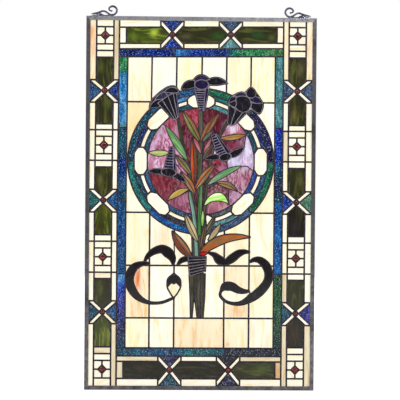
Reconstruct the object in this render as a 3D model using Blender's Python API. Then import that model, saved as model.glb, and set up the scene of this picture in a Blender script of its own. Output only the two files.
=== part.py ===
"""A leaded glass window panel for hanging: a zinc channel frame with two scroll
hangers, a border of cream, green and textured blue glass with garnet jewels,
and a ring medallion behind a bunch of lilies tied with a black ribbon.

Axes: X to the right, Z up, the decorated face towards -Y, the glass in the
plane Y = 0. The origin lies midway between the bearing points of the hangers.
"""
import math

import bmesh
import bpy
from mathutils import Vector, geometry

for old in list(bpy.data.objects):
    bpy.data.objects.remove(old, do_unlink=True)

MM = 0.001
GAP = 0.3                        # between pieces that touch
FRAME_DEEP = 7.0                 # zinc channel, front to back
CHANNEL_WEB = 1.2                # its outer wall
SLOT = 4.2                       # its groove
TONGUE = SLOT - 2 * GAP          # edge of the leaded panel inside the groove
BEAD = 4.6                       # solder lines, front to back
GLASS = 3.0                      # glass thickness
BAR_HALF = 1.5                   # solder line, from its middle to the hole for a pane
BEARING_Y = -20.5                # where a hook bears inside the hangers' loops
HANGER_DEEP = 4.0
HANGER_RIGHT = 524.0             # the right hanger mirrors the left one about half of this
PANE_MIN = 2100.0                # field panes above this area are solids of their own
RECESS_MIN = 560.0               # smaller pieces down to this area show as sunk fields in the soldered web


# ---------------------------------------------------------------- layout
# Everything in this section is in panel millimetres: x to the right from
# the left outer edge, y down from the top outer edge, seen from the front.
W, H = 527.0, 855.0              # outer size of the framed panel
RAIL = 9.5                       # face width of the zinc channel
REACH = 4.0                      # glass edge inside the channel
COL_L = (23.6, 62.8, 75.6, 95.0)     # left column: strip | block | strip | band | field
COL_R = (503.3, 464.2, 451.3, 433.0)   # the same lines on the right, from outside in
TOP = (25.2, 62.0, 74.6, 92.6)       # top row: strip | green | strip | band | field
BOT = (829.2, 790.0, 777.4, 759.0)   # bottom row, from outside in
TOP_TILT = 4.0                   # the top row climbs this much from left to right
CORNER_T = (23.4, 62.6, 77.6, 93.0)
CORNER_B = (828.5, 788.0, 772.5, 756.8)
MID_1 = (246.2, 259.8, 274.7, 314.5, 329.7, 344.8)
MID_2 = (500.5, 515.5, 531.0, 571.0, 586.5, 601.0)
CROSS_Y = ((144.6, 196.0), (396.8, 448.8), (652.2, 704.6))
CROSS_TX = ((169.8, 222.6), (303.4, 356.6))
CROSS_BX = ((168.6, 221.6), (303.0, 356.6))
BAND_JOINTS = (254.0, 422.5, 589.0)
FIELD_X = ((150.6, 147.6), (207.2, 204.2), (265.0, 262.6), (321.6, 319.0), (377.6, 376.2))
FIELD_Y = (195.0, 321.0, 448.0, 569.5, 690.0)
RING_C = (263.5, 330.5)
RING_R = (167.0, 152.8, 122.2)   # outer edge, under the band, inside the lozenge ring
STRIP_R = (132.2, 142.6)         # cream strip between two lozenges
LOZ_L, LOZ_CUT = 31.6, (13.0, 9.6)
GEM, ROUND_GEM = 9.6, 5.6        # half diagonal of the square gems, radius of the round ones
ARM_W = 9.2


def clamp(v, a, b):
    return max(a, min(b, v))


def bow(y):
    """The left column leans in a little towards the middle of the panel."""
    return -1.25 * (1 - math.cos(math.pi * min(y, 480.0) / 480.0))


def left(i, y):
    return REACH if i < 0 else COL_L[i] + bow(y)


def right(i, y):
    return W - REACH if i < 0 else COL_R[i]


def tilt(x):
    return -TOP_TILT * clamp((x - 76.0) / 375.0, 0.0, 1.0)


def circle(cx, cy, r, n=20, a0=0.0):
    return [(cx + r * math.cos(a0 + 2 * math.pi * i / n), cy + r * math.sin(a0 + 2 * math.pi * i / n)) for i in range(n)]


def ring_at(r, deg):
    a = math.radians(deg)
    return (RING_C[0] + r * math.cos(a), RING_C[1] + r * math.sin(a))


def sector(r0, r1, d0, d1, step):
    """Part of a ring about RING_C, angles in degrees clockwise from the right."""
    n = max(2, int(math.ceil(math.radians(abs(d1 - d0)) * r1 / step)))
    outer = [ring_at(r1, d0 + (d1 - d0) * i / n) for i in range(n + 1)]
    inner = [ring_at(r0, d0 + (d1 - d0) * i / n) for i in range(n + 1)]
    return outer + inner[::-1]


def keep_side(poly, px, py, nx, ny):
    """The part of a convex outline where (p - (px, py)) . (nx, ny) is not negative."""
    out = []
    for i, a in enumerate(poly):
        b = poly[(i + 1) % len(poly)]
        da = (a[0] - px) * nx + (a[1] - py) * ny
        db = (b[0] - px) * nx + (b[1] - py) * ny
        if da >= 0:
            out.append(a)
        if (da > 0 > db) or (da < 0 < db):
            t = da / (da - db)
            out.append((a[0] + (b[0] - a[0]) * t, a[1] + (b[1] - a[1]) * t))
    return out


def bar(a, b, w):
    """A straight strip of width w from a to b."""
    dx, dy = b[0] - a[0], b[1] - a[1]
    n = math.hypot(dx, dy)
    ox, oy = -dy / n * w / 2, dx / n * w / 2
    return [(a[0] + ox, a[1] + oy), (b[0] + ox, b[1] + oy), (b[0] - ox, b[1] - oy), (a[0] - ox, a[1] - oy)]


def spline(points, step):
    """Points along a smooth curve through the given ones; extra columns, such as a width, run along."""
    out = []
    n = len(points)
    for i in range(n - 1):
        p0, p1, p2, p3 = points[max(i - 1, 0)], points[i], points[i + 1], points[min(i + 2, n - 1)]
        m = max(2, int(math.ceil(math.hypot(p2[0] - p1[0], p2[1] - p1[1]) / step)))
        for k in range(m):
            t = k / m
            out.append(tuple(0.5 * (2 * b + (c - a) * t + (2 * a - 5 * b + 4 * c - d) * t * t + (3 * b - a - 3 * c + d) * t ** 3)
                             for a, b, c, d in zip(p0, p1, p2, p3)))
    out.append(tuple(float(v) for v in points[-1]))
    return out


def ribbon(points, step):
    """Outline of a band whose width changes: points are (x, y, width)."""
    line = spline(points, step)
    a, b = [], []
    for i, (x, y, w) in enumerate(line):
        q, r = line[max(i - 1, 0)], line[min(i + 1, len(line) - 1)]
        dx, dy = r[0] - q[0], r[1] - q[1]
        n = math.hypot(dx, dy) or 1.0
        w = max(w, 0.6) / 2
        a.append((x - dy / n * w, y + dx / n * w))
        b.append((x + dy / n * w, y - dx / n * w))
    return a + b[::-1]


def rounded(points, step):
    """A closed smooth outline through the points; a point given twice stays a corner."""
    out, n = [], len(points)
    for i in range(n):
        p0, p1, p2, p3 = points[i - 1], points[i], points[(i + 1) % n], points[(i + 2) % n]
        if p1 == p2:
            continue
        m = max(2, int(math.ceil(math.dist(p1, p2) / step)))
        for k in range(m):
            t = k / m
            out.append(tuple(0.5 * (2 * b + (c - a) * t + (2 * a - 5 * b + 4 * c - d) * t * t + (3 * b - a - 3 * c + d) * t ** 3)
                             for a, b, c, d in zip(p0, p1, p2, p3)))
    return out


def leaf(base, tip, width, bend, step, butt=0.3, belly=0.45, half=0):
    """A lance-shaped leaf from its base to its pointed tip; bend is the sideways bow over the length.
    half 1 or -1 gives the part on one side of the midrib."""
    bx, by = base
    dx, dy = tip[0] - bx, tip[1] - by
    length = math.hypot(dx, dy)
    cx, cy = bx + dx * 0.5 - dy * bend * 1.0, by + dy * 0.5 + dx * bend * 1.0
    n = max(6, int(math.ceil(length * 1.1 / step)))
    a, b = [], []
    for i in range(n + 1):
        t = i / n
        x = (1 - t) ** 2 * bx + 2 * t * (1 - t) * cx + t * t * tip[0]
        y = (1 - t) ** 2 * by + 2 * t * (1 - t) * cy + t * t * tip[1]
        tx = 2 * (1 - t) * (cx - bx) + 2 * t * (tip[0] - cx)
        ty = 2 * (1 - t) * (cy - by) + 2 * t * (tip[1] - cy)
        m = math.hypot(tx, ty)
        if t < belly:
            s = t / belly
            w = butt + (1 - butt) * math.sin(s * math.pi / 2)
        else:
            s = (t - belly) / (1 - belly)
            w = math.cos(s * math.pi / 2) ** 0.85 if s < 1 else 0.0
        w *= width / 2
        wa, wb = (w if half >= 0 else 0.0), (w if half <= 0 else 0.0)
        a.append((x - ty / m * wa, y + tx / m * wa))
        b.append((x + ty / m * wb, y - tx / m * wb))
    return a[:-1] + [tip] + b[:-1][::-1]


def blob(cx, cy, rx, ry, deg, n=18, nose=0.0):
    """An egg-shaped petal."""
    c, s = math.cos(math.radians(deg)), math.sin(math.radians(deg))
    out = []
    for i in range(n):
        a = 2 * math.pi * i / n
        u, v = rx * math.cos(a), ry * math.sin(a) * (1 - nose * math.cos(a))
        out.append((cx + u * c - v * s, cy + u * s + v * c))
    return out


class Piece:
    """One cut piece before the ones above it are taken off: its name, glass, outline, streak angle and tints."""

    def __init__(self, name, glass, outline, tint_a=None, tint_b=None, grain=90.0, soft=None):
        self.name, self.glass, self.outline = name, glass, outline
        self.tint_a, self.tint_b, self.grain, self.soft = tint_a, tint_b, grain, soft


CREAM = ((1.0, 0.93, 0.74), (0.98, 0.82, 0.55))
AMBER = ((1.0, 0.86, 0.62), (0.93, 0.48, 0.13))
PALE = ((1.0, 0.98, 0.92), (1.0, 0.93, 0.78))


def build_layout(step=3.0):
    """All the pieces, in the order in which later ones lie over earlier ones."""
    P = []
    add = lambda *a, **k: P.append(Piece(*a, **k))

    # ---- columns
    for side, line, sign in (("left", left, 1), ("right", right, -1)):
        up = 1.0 if sign > 0 else -1.6        # the rows of one column sit a little lower than the other's
        dn = -0.9 if sign > 0 else 1.2

        def quad(i, j, y0, y1, line=line):
            return [(line(i, y0), y0), (line(j, y0), y0), (line(j, y1), y1), (line(i, y1), y1)]

        ct = [y + up for y in CORNER_T]
        cb = list(CORNER_B)
        m1, m2 = list(MID_1), [y + (-0.7 if sign > 0 else 0.7) for y in MID_2]
        cr = [(CROSS_Y[0][0] + up, CROSS_Y[0][1] + up), (CROSS_Y[1][0] + dn, CROSS_Y[1][1] + dn), (CROSS_Y[2][0] + dn, CROSS_Y[2][1] + dn)]
        runs = ((REACH, cr[0][0]), (cr[0][1], m1[1]), (m1[1], m1[4]), (m1[4], cr[1][0]),
                (cr[1][1], m2[1]), (m2[1], m2[4]), (m2[4], cr[2][0]), (cr[2][1], H - REACH))
        for k, (y0, y1) in enumerate(runs):
            add(f"{side}_outer_strip_{k + 1}", "cream", quad(-1, 0, y0, y1), grain=90)
            add(f"{side}_inner_strip_{k + 1}", "cream", quad(1, 2, y0, y1), grain=90)
        # corner and middle blocks
        blocks = [(REACH, ct[0], None), (ct[0], ct[1], "gem"), (ct[1], ct[2], None), (ct[2], ct[3], None),
                  (m1[0], m1[1], None), (m1[1], m1[2], None), (m1[2], m1[3], "gem"), (m1[3], m1[4], None), (m1[4], m1[5], None),
                  (m2[0], m2[1], None), (m2[1], m2[2], None), (m2[2], m2[3], "gem"), (m2[3], m2[4], None), (m2[4], m2[5], None),
                  (cb[3], cb[2], None), (cb[2], cb[1], None), (cb[1], cb[0], "gem"), (cb[0], H - REACH, None)]
        gems = []
        for k, (y0, y1, what) in enumerate(blocks):
            if what is None:
                add(f"{side}_block_strip_{k + 1}", "cream", quad(0, 1, y0, y1), grain=0)
                continue
            ym = (y0 + y1) / 2
            xm = (line(0, ym) + line(1, ym)) / 2
            xa, xb = line(0, ym), line(1, ym)
            for q, (x0, x1, ya, yb) in enumerate(((xa, xm, y0, ym), (xm, xb, y0, ym), (xa, xm, ym, y1), (xm, xb, ym, y1))):
                add(f"{side}_square_{k + 1}_{q + 1}", "cream", [(x0, ya), (x1, ya), (x1, yb), (x0, yb)], PALE[0], CREAM[0], grain=20 * q)
            gems.append((f"{side}_square_gem_{len(gems) + 1}", (xm, ym)))
        # crossings between the blocks, with pointed green panes above and below
        ends = (ct[3], m1[0], m1[5], m2[0], m2[5], cb[3])
        for k, (y0, y1) in enumerate(cr):
            cy = (y0 + y1) / 2 - 1.0
            cx = (line(0, cy) + line(1, cy)) / 2
            for half, (ya, yb) in enumerate(((ends[2 * k], y0), (y1, ends[2 * k + 1]))):
                shoulder = y0 + 3.5 if half == 0 else y1 - 3.5
                far = ya if half == 0 else yb
                out = [(line(0, far), far), (line(1, far), far), (line(1, shoulder), shoulder), (cx, cy), (line(0, shoulder), shoulder)]
                add(f"green_{side}_{2 * k + half + 1}", "moss", out, grain=90)
            edge = REACH if sign > 0 else W - REACH
            inner = line(2, cy)
            xo = RAIL if sign > 0 else W - RAIL
            add(f"{side}_cross_{k + 1}_outer", "ripple", [(edge, y0), (cx, cy), (edge, y1)])
            add(f"{side}_cross_{k + 1}_inner", "ripple", [(inner, y0), (cx, cy), (inner, y1)])
            for q, corner in enumerate(((xo, y0), (inner, y0), (inner, y1), (xo, y1))):
                # each arm starts a little in from the corner of the crossing
                sx = 5.0 if corner[0] < cx else -5.0
                arm = bar((corner[0] + sx - (cx - corner[0]) * 0.25, corner[1] - (cy - corner[1]) * 0.25), (cx, cy), ARM_W)
                arm = keep_side(arm, 0, y0, 0, 1)
                arm = keep_side(arm, 0, y1, 0, -1)
                arm = keep_side(arm, min(edge, inner), 0, 1, 0)
                arm = keep_side(arm, max(edge, inner), 0, -1, 0)
                add(f"{side}_cross_{k + 1}_arm_{q + 1}", "cream", arm, PALE[0], PALE[1], grain=45)
            gems.append((f"{side}_round_gem_{k + 1}", (cx, cy)))
        for name, (gx, gy) in gems:
            if "square" in name:
                add(name, "gem", [(gx, gy - GEM), (gx + GEM, gy), (gx, gy + GEM), (gx - GEM, gy)])
            else:
                add(name, "gem", circle(gx, gy, ROUND_GEM, 14))

    # ---- top and bottom rows
    xl, xr = (lambda y: left(2, y)), (lambda y: right(2, y))
    for side, rows, sign in (("top", TOP, 1), ("bottom", BOT, -1)):
        t = tilt if side == "top" else (lambda x: 0.0)
        edge = REACH if side == "top" else H - REACH

        def row(i, x, rows=rows, t=t, edge=edge):
            return edge if i < 0 else rows[i] + t(x)

        cross = CROSS_TX if side == "top" else CROSS_BX
        ym = (rows[0] + rows[1]) / 2
        x0, x1 = xl(ym), xr(ym)
        spans = ((x0, cross[0][0]), (cross[0][1], cross[1][0]), (cross[1][1], x1))
        for k, (a, b) in enumerate(spans):
            for name, i, j in (("outer", -1, 0), ("inner", 1, 2)):
                add(f"{side}_{name}_strip_{k + 1}", "cream", [(a, row(i, a)), (b, row(i, b)), (b, row(j, b)), (a, row(j, a))], grain=0)
        end_l, end_r = (91.4, 436.2) if side == "top" else (88.8, 437.2)
        add(f"{side}_end_piece_1", "cream", [(x0, row(0, x0)), (end_l, row(0, end_l)), (end_l, row(1, end_l)), (x0, row(1, x0))], grain=90)
        add(f"{side}_end_piece_2", "cream", [(end_r, row(0, end_r)), (x1, row(0, x1)), (x1, row(1, x1)), (end_r, row(1, end_r))], grain=90)
        centres = []
        for a, b in cross:
            cx = (a + b) / 2
            centres.append((cx, (row(0, cx) + row(1, cx)) / 2 - (1.0 if side == "top" else 0.0)))
        sh = 3.5
        a0, a1 = cross[0]
        b0, b1 = cross[1]
        greens = ([(end_l, row(0, end_l)), (a0 + sh, row(0, a0)), centres[0], (a0 + sh, row(1, a0)), (end_l, row(1, end_l))],
                  [centres[0], (a1 - sh, row(0, a1)), (b0 + sh, row(0, b0)), centres[1], (b0 + sh, row(1, b0)), (a1 - sh, row(1, a1))],
                  [centres[1], (b1 - sh, row(0, b1)), (end_r, row(0, end_r)), (end_r, row(1, end_r)), (b1 - sh, row(1, b1))])
        for k, g in enumerate(greens):
            add(f"green_{side}_{k + 1}", "moss", g, grain=0)
        vis = RAIL if side == "top" else H - RAIL
        for k, ((a, b), (cx, cy)) in enumerate(zip(cross, centres)):
            far = lambda x: row(2, x)
            add(f"{side}_cross_{k + 1}_outer", "ripple", [(a, edge), (b, edge), (cx, cy)])
            add(f"{side}_cross_{k + 1}_inner", "ripple", [(a, far(a)), (b, far(b)), (cx, cy)])
            for q, corner in enumerate(((a, vis), (b, vis), (b, far(b)), (a, far(a)))):
                sy = 4.5 if corner[1] < cy else -4.5
                arm = bar((corner[0] - (cx - corner[0]) * 0.25, corner[1] + sy - (cy - corner[1]) * 0.25), (cx, cy), ARM_W)
                arm = keep_side(arm, a, 0, 1, 0)
                arm = keep_side(arm, b, 0, -1, 0)
                lo, hi = sorted((edge, far(corner[0])))
                arm = keep_side(arm, 0, lo, 0, 1)
                arm = keep_side(arm, 0, hi, 0, -1)
                add(f"{side}_cross_{k + 1}_arm_{q + 1}", "cream", arm, PALE[0], PALE[1], grain=45)
            add(f"{side}_round_gem_{k + 1}", "gem", circle(cx, cy, ROUND_GEM, 14))

    # ---- textured bands round the field
    def band_y(side, i, x):
        return (TOP[2 + i] + tilt(x)) if side == "top" else BOT[2 + i]

    for side, cuts in (("top", (202.8, 326.4)), ("bottom", (198.6, 323.0))):
        y = (TOP[2] + TOP[3]) / 2 if side == "top" else (BOT[2] + BOT[3]) / 2
        xs = (xl(y),) + cuts + (xr(y),)
        for k in range(3):
            a, b = xs[k], xs[k + 1]
            add(f"band_{side}_{k + 1}", "ripple", [(a, band_y(side, 0, a)), (b, band_y(side, 0, b)), (b, band_y(side, 1, b)), (a, band_y(side, 1, a))])
    for side, line in (("left", left), ("right", right)):
        ys = [None] + list(BAND_JOINTS) + [None]
        for k in range(4):
            def corner(i, y):
                x = line(i, y if y is not None else (100.0 if k == 0 else 750.0))
                if y is None:
                    y = band_y("top", 1, x) if k == 0 else BOT[3]
                return (x, y)
            dy = 0.0 if side == "left" else -1.0
            y0 = ys[k] if ys[k] is None else ys[k] + dy
            y1 = ys[k + 1] if ys[k + 1] is None else ys[k + 1] + dy
            n = 4
            if y0 is None or y1 is None:
                out = [corner(2, y0), corner(3, y0), corner(3, y1), corner(2, y1)]
            else:
                out = [corner(2, y0), corner(3, y0), corner(3, y1), corner(2, y1)]
            add(f"band_{side}_{k + 1}", "ripple", out)

    # ---- field of cream panes
    def vx(j, y):
        if j < 0:
            return left(3, y)
        if j >= len(FIELD_X):
            return right(3, y)
        a, b = FIELD_X[j]
        return a + (b - a) * clamp((y - 100.0) / 350.0, 0.0, 1.0)

    def hy(i, x):
        if i < 0:
            return TOP[3] + tilt(x)
        if i >= len(FIELD_Y):
            return BOT[3]
        return FIELD_Y[i]

    for i in range(6):
        for j in range(6):
            if i == 5 and j == 3:
                continue
            j1 = j + 1 if (i == 5 and j == 2) else j
            ya, yb = hy(i - 1, 0), hy(i, 0)
            xa, xb = vx(j - 1, ya), vx(j1, ya)
            xc, xd = vx(j1, yb), vx(j - 1, yb)
            out = [(xa, hy(i - 1, xa)), (xb, hy(i - 1, xb)), (xc, hy(i, xc)), (xd, hy(i, xd))]
            add(f"field_{i + 1}_{j + 1}", "cream", out, grain=90)

    # ---- ring medallion
    joints = (0.0, 45.0, 90.0, 135.0, 180.0, 225.0, 270.0, 315.0, 360.0)
    for k in range(8):
        add(f"ring_band_{k + 1}", "ripple", sector(RING_R[1], RING_R[0], joints[k], joints[k + 1], step))
        add(f"ring_inner_strip_{k + 1}", "deep", sector(RING_R[2], STRIP_R[0], joints[k], joints[k + 1], step))
        add(f"ring_cream_strip_{k + 1}", "cream", sector(STRIP_R[0], STRIP_R[1], joints[k], joints[k + 1], step), PALE[0], PALE[1])
        add(f"ring_outer_strip_{k + 1}", "deep", sector(STRIP_R[1], RING_R[1], joints[k], joints[k + 1], step))
    # streaky glass inside the ring: each cut runs from the neck of the bunch, under a stem or a leaf,
    # out of its tip and on to the ring at the angle given last
    neck = (262.0, 452.0)
    cuts = (
        ((262, 214), 270.0), ((264, 300), (285, 250), (306, 221), 291.5), ((276, 400), (293, 300), (322, 241), 305.0),
        ((270, 400), (290, 310), (312, 276), (368, 268), 329.0), ((275, 400), (282, 380), (320, 352), (357, 340), (371, 341), 370.0),
        ((285, 385), (302, 378), (325, 378), (348, 398), 398.0), ((272, 430), (300, 410), (328, 426), 416.0), (438.0,), (456.0,),
        ((240, 397), (189, 421), 490.0), ((250, 395), (225, 368), (190, 362), (144, 354), 529.0),
        ((250, 390), (205, 335), (188, 311), (143, 311), 549.5), ((255, 380), (230, 325), (181, 249), 584.3),
        ((238, 390), (224, 310), (212, 232), 600.5), ((259, 330), (255, 290), (219, 214), 608.5), ((262, 214), 630.0))
    shades = (
        ((92, 42, 52), (124, 70, 78)), ((68, 26, 36), (120, 92, 120)), ((180, 100, 122), (232, 214, 240)),
        ((210, 186, 214), (238, 226, 244)), ((142, 92, 110), (222, 192, 204)), ((160, 124, 146), (196, 166, 186)),
        ((152, 94, 112), (190, 142, 150)), ((152, 94, 112), (190, 142, 150)), ((138, 80, 102), (184, 146, 168)),
        ((108, 52, 60), (156, 98, 112)), ((194, 140, 168), (234, 214, 232)), ((168, 96, 124), (214, 190, 222)),
        ((150, 66, 88), (196, 138, 166)), ((98, 40, 54), (140, 92, 118)), ((148, 58, 74), (176, 96, 112)))
    for k, (one, two) in enumerate(zip(cuts, cuts[1:])):
        d0, d1 = one[-1], two[-1]
        n = max(2, int(math.radians(d1 - d0) * RING_R[2] / step))
        arc = [ring_at(RING_R[2], d0 + (d1 - d0) * i / n) for i in range(n + 1)]
        add(f"shard_{k + 1}", "lilac", [neck] + list(one[:-1]) + arc + list(two[:-1])[::-1], *shades[k], grain=90)
    add("shard_16", "lilac", [(300, 280), (367, 269), (362, 300), (322, 322)], (104, 52, 68), (160, 116, 146), grain=90)
    add("shard_17", "lilac", [(268, 306), (300, 318), (323, 325), (326, 352), (284, 380), (268, 350)], (108, 50, 64), (196, 150, 176), grain=60)
    add("shard_18", "lilac", [(280, 392), (302, 380), (328, 384), (328, 428), (300, 412), (272, 432)], (150, 92, 104), (200, 150, 160), grain=90)
    for k in range(8):
        c = ring_at((RING_R[1] + RING_R[2]) / 2, 45.0 * k)
        a = math.radians(45.0 * k)
        half, w = LOZ_L, (RING_R[1] - RING_R[2]) / 2
        cl, cw = LOZ_CUT
        loc = [(w, -half + cl), (w, half - cl), (w - cw * 0.55, half - cl * 0.35), (w - cw, half), (-w + cw, half), (-w + cw * 0.55, half - cl * 0.35),
               (-w, half - cl), (-w, -half + cl), (-w + cw * 0.55, -half + cl * 0.35), (-w + cw, -half), (w - cw, -half), (w - cw * 0.55, -half + cl * 0.35)]
        add(f"lozenge_{k + 1}", "cream", [(c[0] + u * math.cos(a) - v * math.sin(a), c[1] + u * math.sin(a) + v * math.cos(a)) for u, v in loc],
            PALE[0], CREAM[0], grain=45.0 * k + 90)

    # ---- ribbons of the bow, black glass
    def rib(name, pts):
        add(name, "black", ribbon(pts, step))

    # cream glass inside the small loops first, so that their rims are drawn by solder
    add("loop_left", "cream", ribbon([(204, 588, 2), (204, 600, 26), (204, 617, 31), (204, 630, 20), (203.5, 644, 1)], step), CREAM[0], CREAM[1])
    add("loop_right", "cream", ribbon([(309.5, 636, 8), (322, 637, 29), (340, 639, 33), (358, 638, 24), (378, 630, 6)], step), PALE[0], CREAM[0])
    rib("ribbon_1", [(136, 561, 2), (144, 548, 8), (158, 537, 13), (176, 532, 17), (190, 540, 21), (200, 553, 14), (202, 567, 3)])
    rib("ribbon_2", [(148, 565, 3), (130, 566, 9), (113, 574, 15), (103, 592, 18), (103, 612, 18), (114, 634, 15), (132, 649, 9), (152, 655.5, 4.6),
                     (176, 654.5, 3.6), (196, 647, 3.4), (204, 643, 2.2)])
    rib("ribbon_3", [(190, 616, 2), (195, 604, 13), (204, 601, 20), (213, 604, 13), (219, 616, 2)])
    rib("ribbon_4", [(284, 540, 3), (297, 545, 10), (308, 556, 18), (322, 561, 12), (336, 553, 17), (352, 541, 14), (366, 537, 8), (377, 538, 3)])
    rib("ribbon_5", [(378, 560, 3), (388, 555, 8), (401, 556, 13), (414, 567, 17), (421, 583, 17), (420, 602, 17), (409, 620, 18), (392, 636, 18),
                     (374, 648, 13), (354, 656, 7), (334, 655, 4.2), (319, 648, 3.6), (310.5, 637, 3.2), (312, 627, 2.4)])
    rib("ribbon_6", [(312, 626, 3), (322, 617, 17), (337, 617, 17), (352, 625, 13), (366, 628, 8), (377, 627, 3)])
    rib("ribbon_7", [(212, 568, 2), (221, 558, 9), (231, 554, 10), (240, 553, 6)])

    # ---- bunch: stems, leaves and bells
    def stem(name, pts, a, b):
        add(name, "leaf", ribbon(pts, step), a, b, soft="along")

    stem("stem_left", [(250, 548, 8), (248, 470, 9), (243, 395, 8), (226, 312, 7), (216.5, 262, 7.5), (211, 233, 6)], (66, 72, 46), (92, 90, 62))
    stem("stem_right", [(268, 548, 8), (271, 470, 8), (277, 385, 7), (291, 305, 6), (311, 264, 6), (324, 240, 6)], (72, 70, 54), (98, 88, 72))
    stem("stem_centre", [(260, 548, 9), (260.5, 470, 9), (261.5, 380, 11), (262, 300, 10), (263, 213, 9)], (80, 86, 66), (108, 108, 90))
    stem("stalk_blue", [(255.5, 548, 9), (253, 505, 9), (248.5, 455, 8.5), (242, 420, 8), (238, 400, 5)], (134, 176, 160), (106, 150, 130))
    stem("stalk_green", [(261, 500, 8), (262, 450, 9.5), (263.5, 410, 9), (265, 384, 6)], (52, 122, 56), (100, 156, 108))

    G = {"green": ((100, 150, 86), (144, 188, 134)), "pale_green": ((118, 152, 90), (154, 174, 112)), "teal": ((108, 154, 116), (144, 182, 150)),
         "grey_green": ((94, 122, 106), (124, 144, 132)), "fresh": ((166, 192, 108), (206, 204, 146)), "lime": ((138, 218, 72), (226, 246, 216)),
         "bud": ((148, 208, 92), (184, 224, 142)), "moss": ((106, 110, 70), (134, 128, 90)), "sage": ((140, 124, 84), (164, 144, 98)),
         "gold": ((178, 140, 80), (200, 170, 112)), "straw": ((186, 158, 84), (196, 182, 122)), "rust": ((176, 88, 54), (196, 116, 68)),
         "umber": ((146, 84, 62), (122, 94, 58)), "copper": ((168, 112, 78), (156, 126, 84)), "bronze": ((140, 96, 66), (156, 126, 76)),
         "tan": ((150, 124, 90), (168, 146, 104)), "pink": ((200, 118, 132), (222, 156, 156)), "sand": ((200, 188, 150), (184, 172, 124)),
         "clay": ((168, 136, 106), (190, 164, 128)), "ember": ((178, 96, 54), (150, 88, 58)), "red": ((190, 42, 30), (150, 34, 28)),
         "dark": ((84, 84, 66), (110, 108, 82)), "khaki": ((122, 106, 58), (152, 124, 68))}
    leaves = (
        # base, tip, width, bend, glass, glass beyond the midrib
        ((231, 326), (181, 249), 17, 0.03, "green", None), ((261, 285), (219, 213), 18, 0.03, "bronze", "pale_green"),
        ((263, 285), (308, 219), 16, -0.10, "bronze", None), ((268, 284), (291, 261), 9, -0.08, "grey_green", None),
        ((190, 311), (143, 311), 14, -0.05, "fresh", None), ((242, 362), (203, 314), 14, 0.06, "moss", "sage"),
        ((263, 312), (245, 274), 10, 0.06, "pink", None), ((270, 316), (288, 277), 10, -0.05, "pink", None),
        ((268, 330), (294, 290), 11, -0.10, "umber", "grey_green"), ((309, 277), (370, 268), 13, 0.05, "gold", None),
        ((248, 382), (243, 275), 16, 0.04, "umber", "rust"), ((250, 404), (217, 355), 16, 0.08, "copper", "tan"),
        ((235, 394), (188, 421), 14, 0.14, "straw", None), ((252, 394), (299, 335), 17, -0.08, "tan", "copper"),
        ((281, 383), (358, 340), 15, -0.10, "teal", None), ((301, 380), (349, 399), 14, -0.20, "copper", "sage"),
        ((268.5, 479), (269.5, 440), 8, 0.0, "bud", None),
        ((258, 513), (228, 449), 17, -0.03, "sand", "clay"), ((272, 502), (297, 455), 12, 0.05, "dark", "moss"),
        ((283, 511), (310, 472), 12, 0.06, "clay", None), ((264, 534), (276, 466), 10, 0.03, "khaki", "khaki"),
        ((243, 550), (199, 490), 21, -0.07, "bronze", "umber"), ((262, 542), (281, 540), 9, 0.0, "red", None),
    )
    add("leaf_crescent", "leaf", rounded([(271, 433), (271, 433), (276, 420), (285, 409), (298, 402), (311, 402.5), (321, 411), (329, 428), (329, 428),
                                          (317, 422.5), (303, 420.5), (288, 423), (278, 429)], step), *G["lime"], soft="across")
    add("leaf_sweep", "leaf", ribbon([(263, 546, 5), (272, 536, 13), (285, 524.5, 18), (303, 514, 20), (322, 507, 18), (342, 503.5, 14), (360, 502.5, 9), (378, 503.5, 1)], step),
        *G["ember"], soft="across")
    for k, (base, tip, w, bend, glass, other) in enumerate(leaves):
        butt = 0.28 if w > 9 else 0.5
        if other is None:
            add(f"leaf_{k + 1}", "leaf", leaf(base, tip, w, bend, step, butt=butt), *G[glass], soft="across")
        else:
            add(f"leaf_{k + 1}_a", "leaf", leaf(base, tip, w, bend, step, butt=butt, half=1), *G[glass], soft="across")
            add(f"leaf_{k + 1}_b", "leaf", leaf(base, tip, w, bend, step, butt=butt, half=-1), *G[other], soft="across")

    # lilies: a tapered throat, cut across into narrow slices or along into staves, with petals round its mouth
    def mix(p, q, t):
        return (p[0] + (q[0] - p[0]) * t, p[1] + (q[1] - p[1]) * t)

    def throat(name, mouth, foot, slices, plain):
        """plain is the share of the width at the far side that stays one uncut strip."""
        for s in range(slices):
            t0, t1 = s / slices, (s + 1) / slices
            a0, b0 = mix(mouth[0], foot[0], t0), mix(mouth[1], foot[1], t0)
            a1, b1 = mix(mouth[0], foot[0], t1), mix(mouth[1], foot[1], t1)
            add(f"{name}_throat_{s + 1}", "petal", [a0, mix(a0, b0, 1 - plain), mix(a1, b1, 1 - plain), a1])
        if plain:
            add(f"{name}_side", "petal", [mix(*mouth, 1 - plain), mouth[1], foot[1], mix(*foot, 1 - plain)])

    def staves(name, mouth, foot):
        for s in range(len(mouth) - 1):
            add(f"{name}_stave_{s + 1}", "petal", [mouth[s], mouth[s + 1], foot[s + 1], foot[s]])

    def petals(name, items):
        for s, (base, tip, w, bend, butt) in enumerate(items):
            add(f"{name}_petal_{s + 1}", "petal", leaf(base, tip, w, bend, step, butt=butt, belly=0.42))

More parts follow.
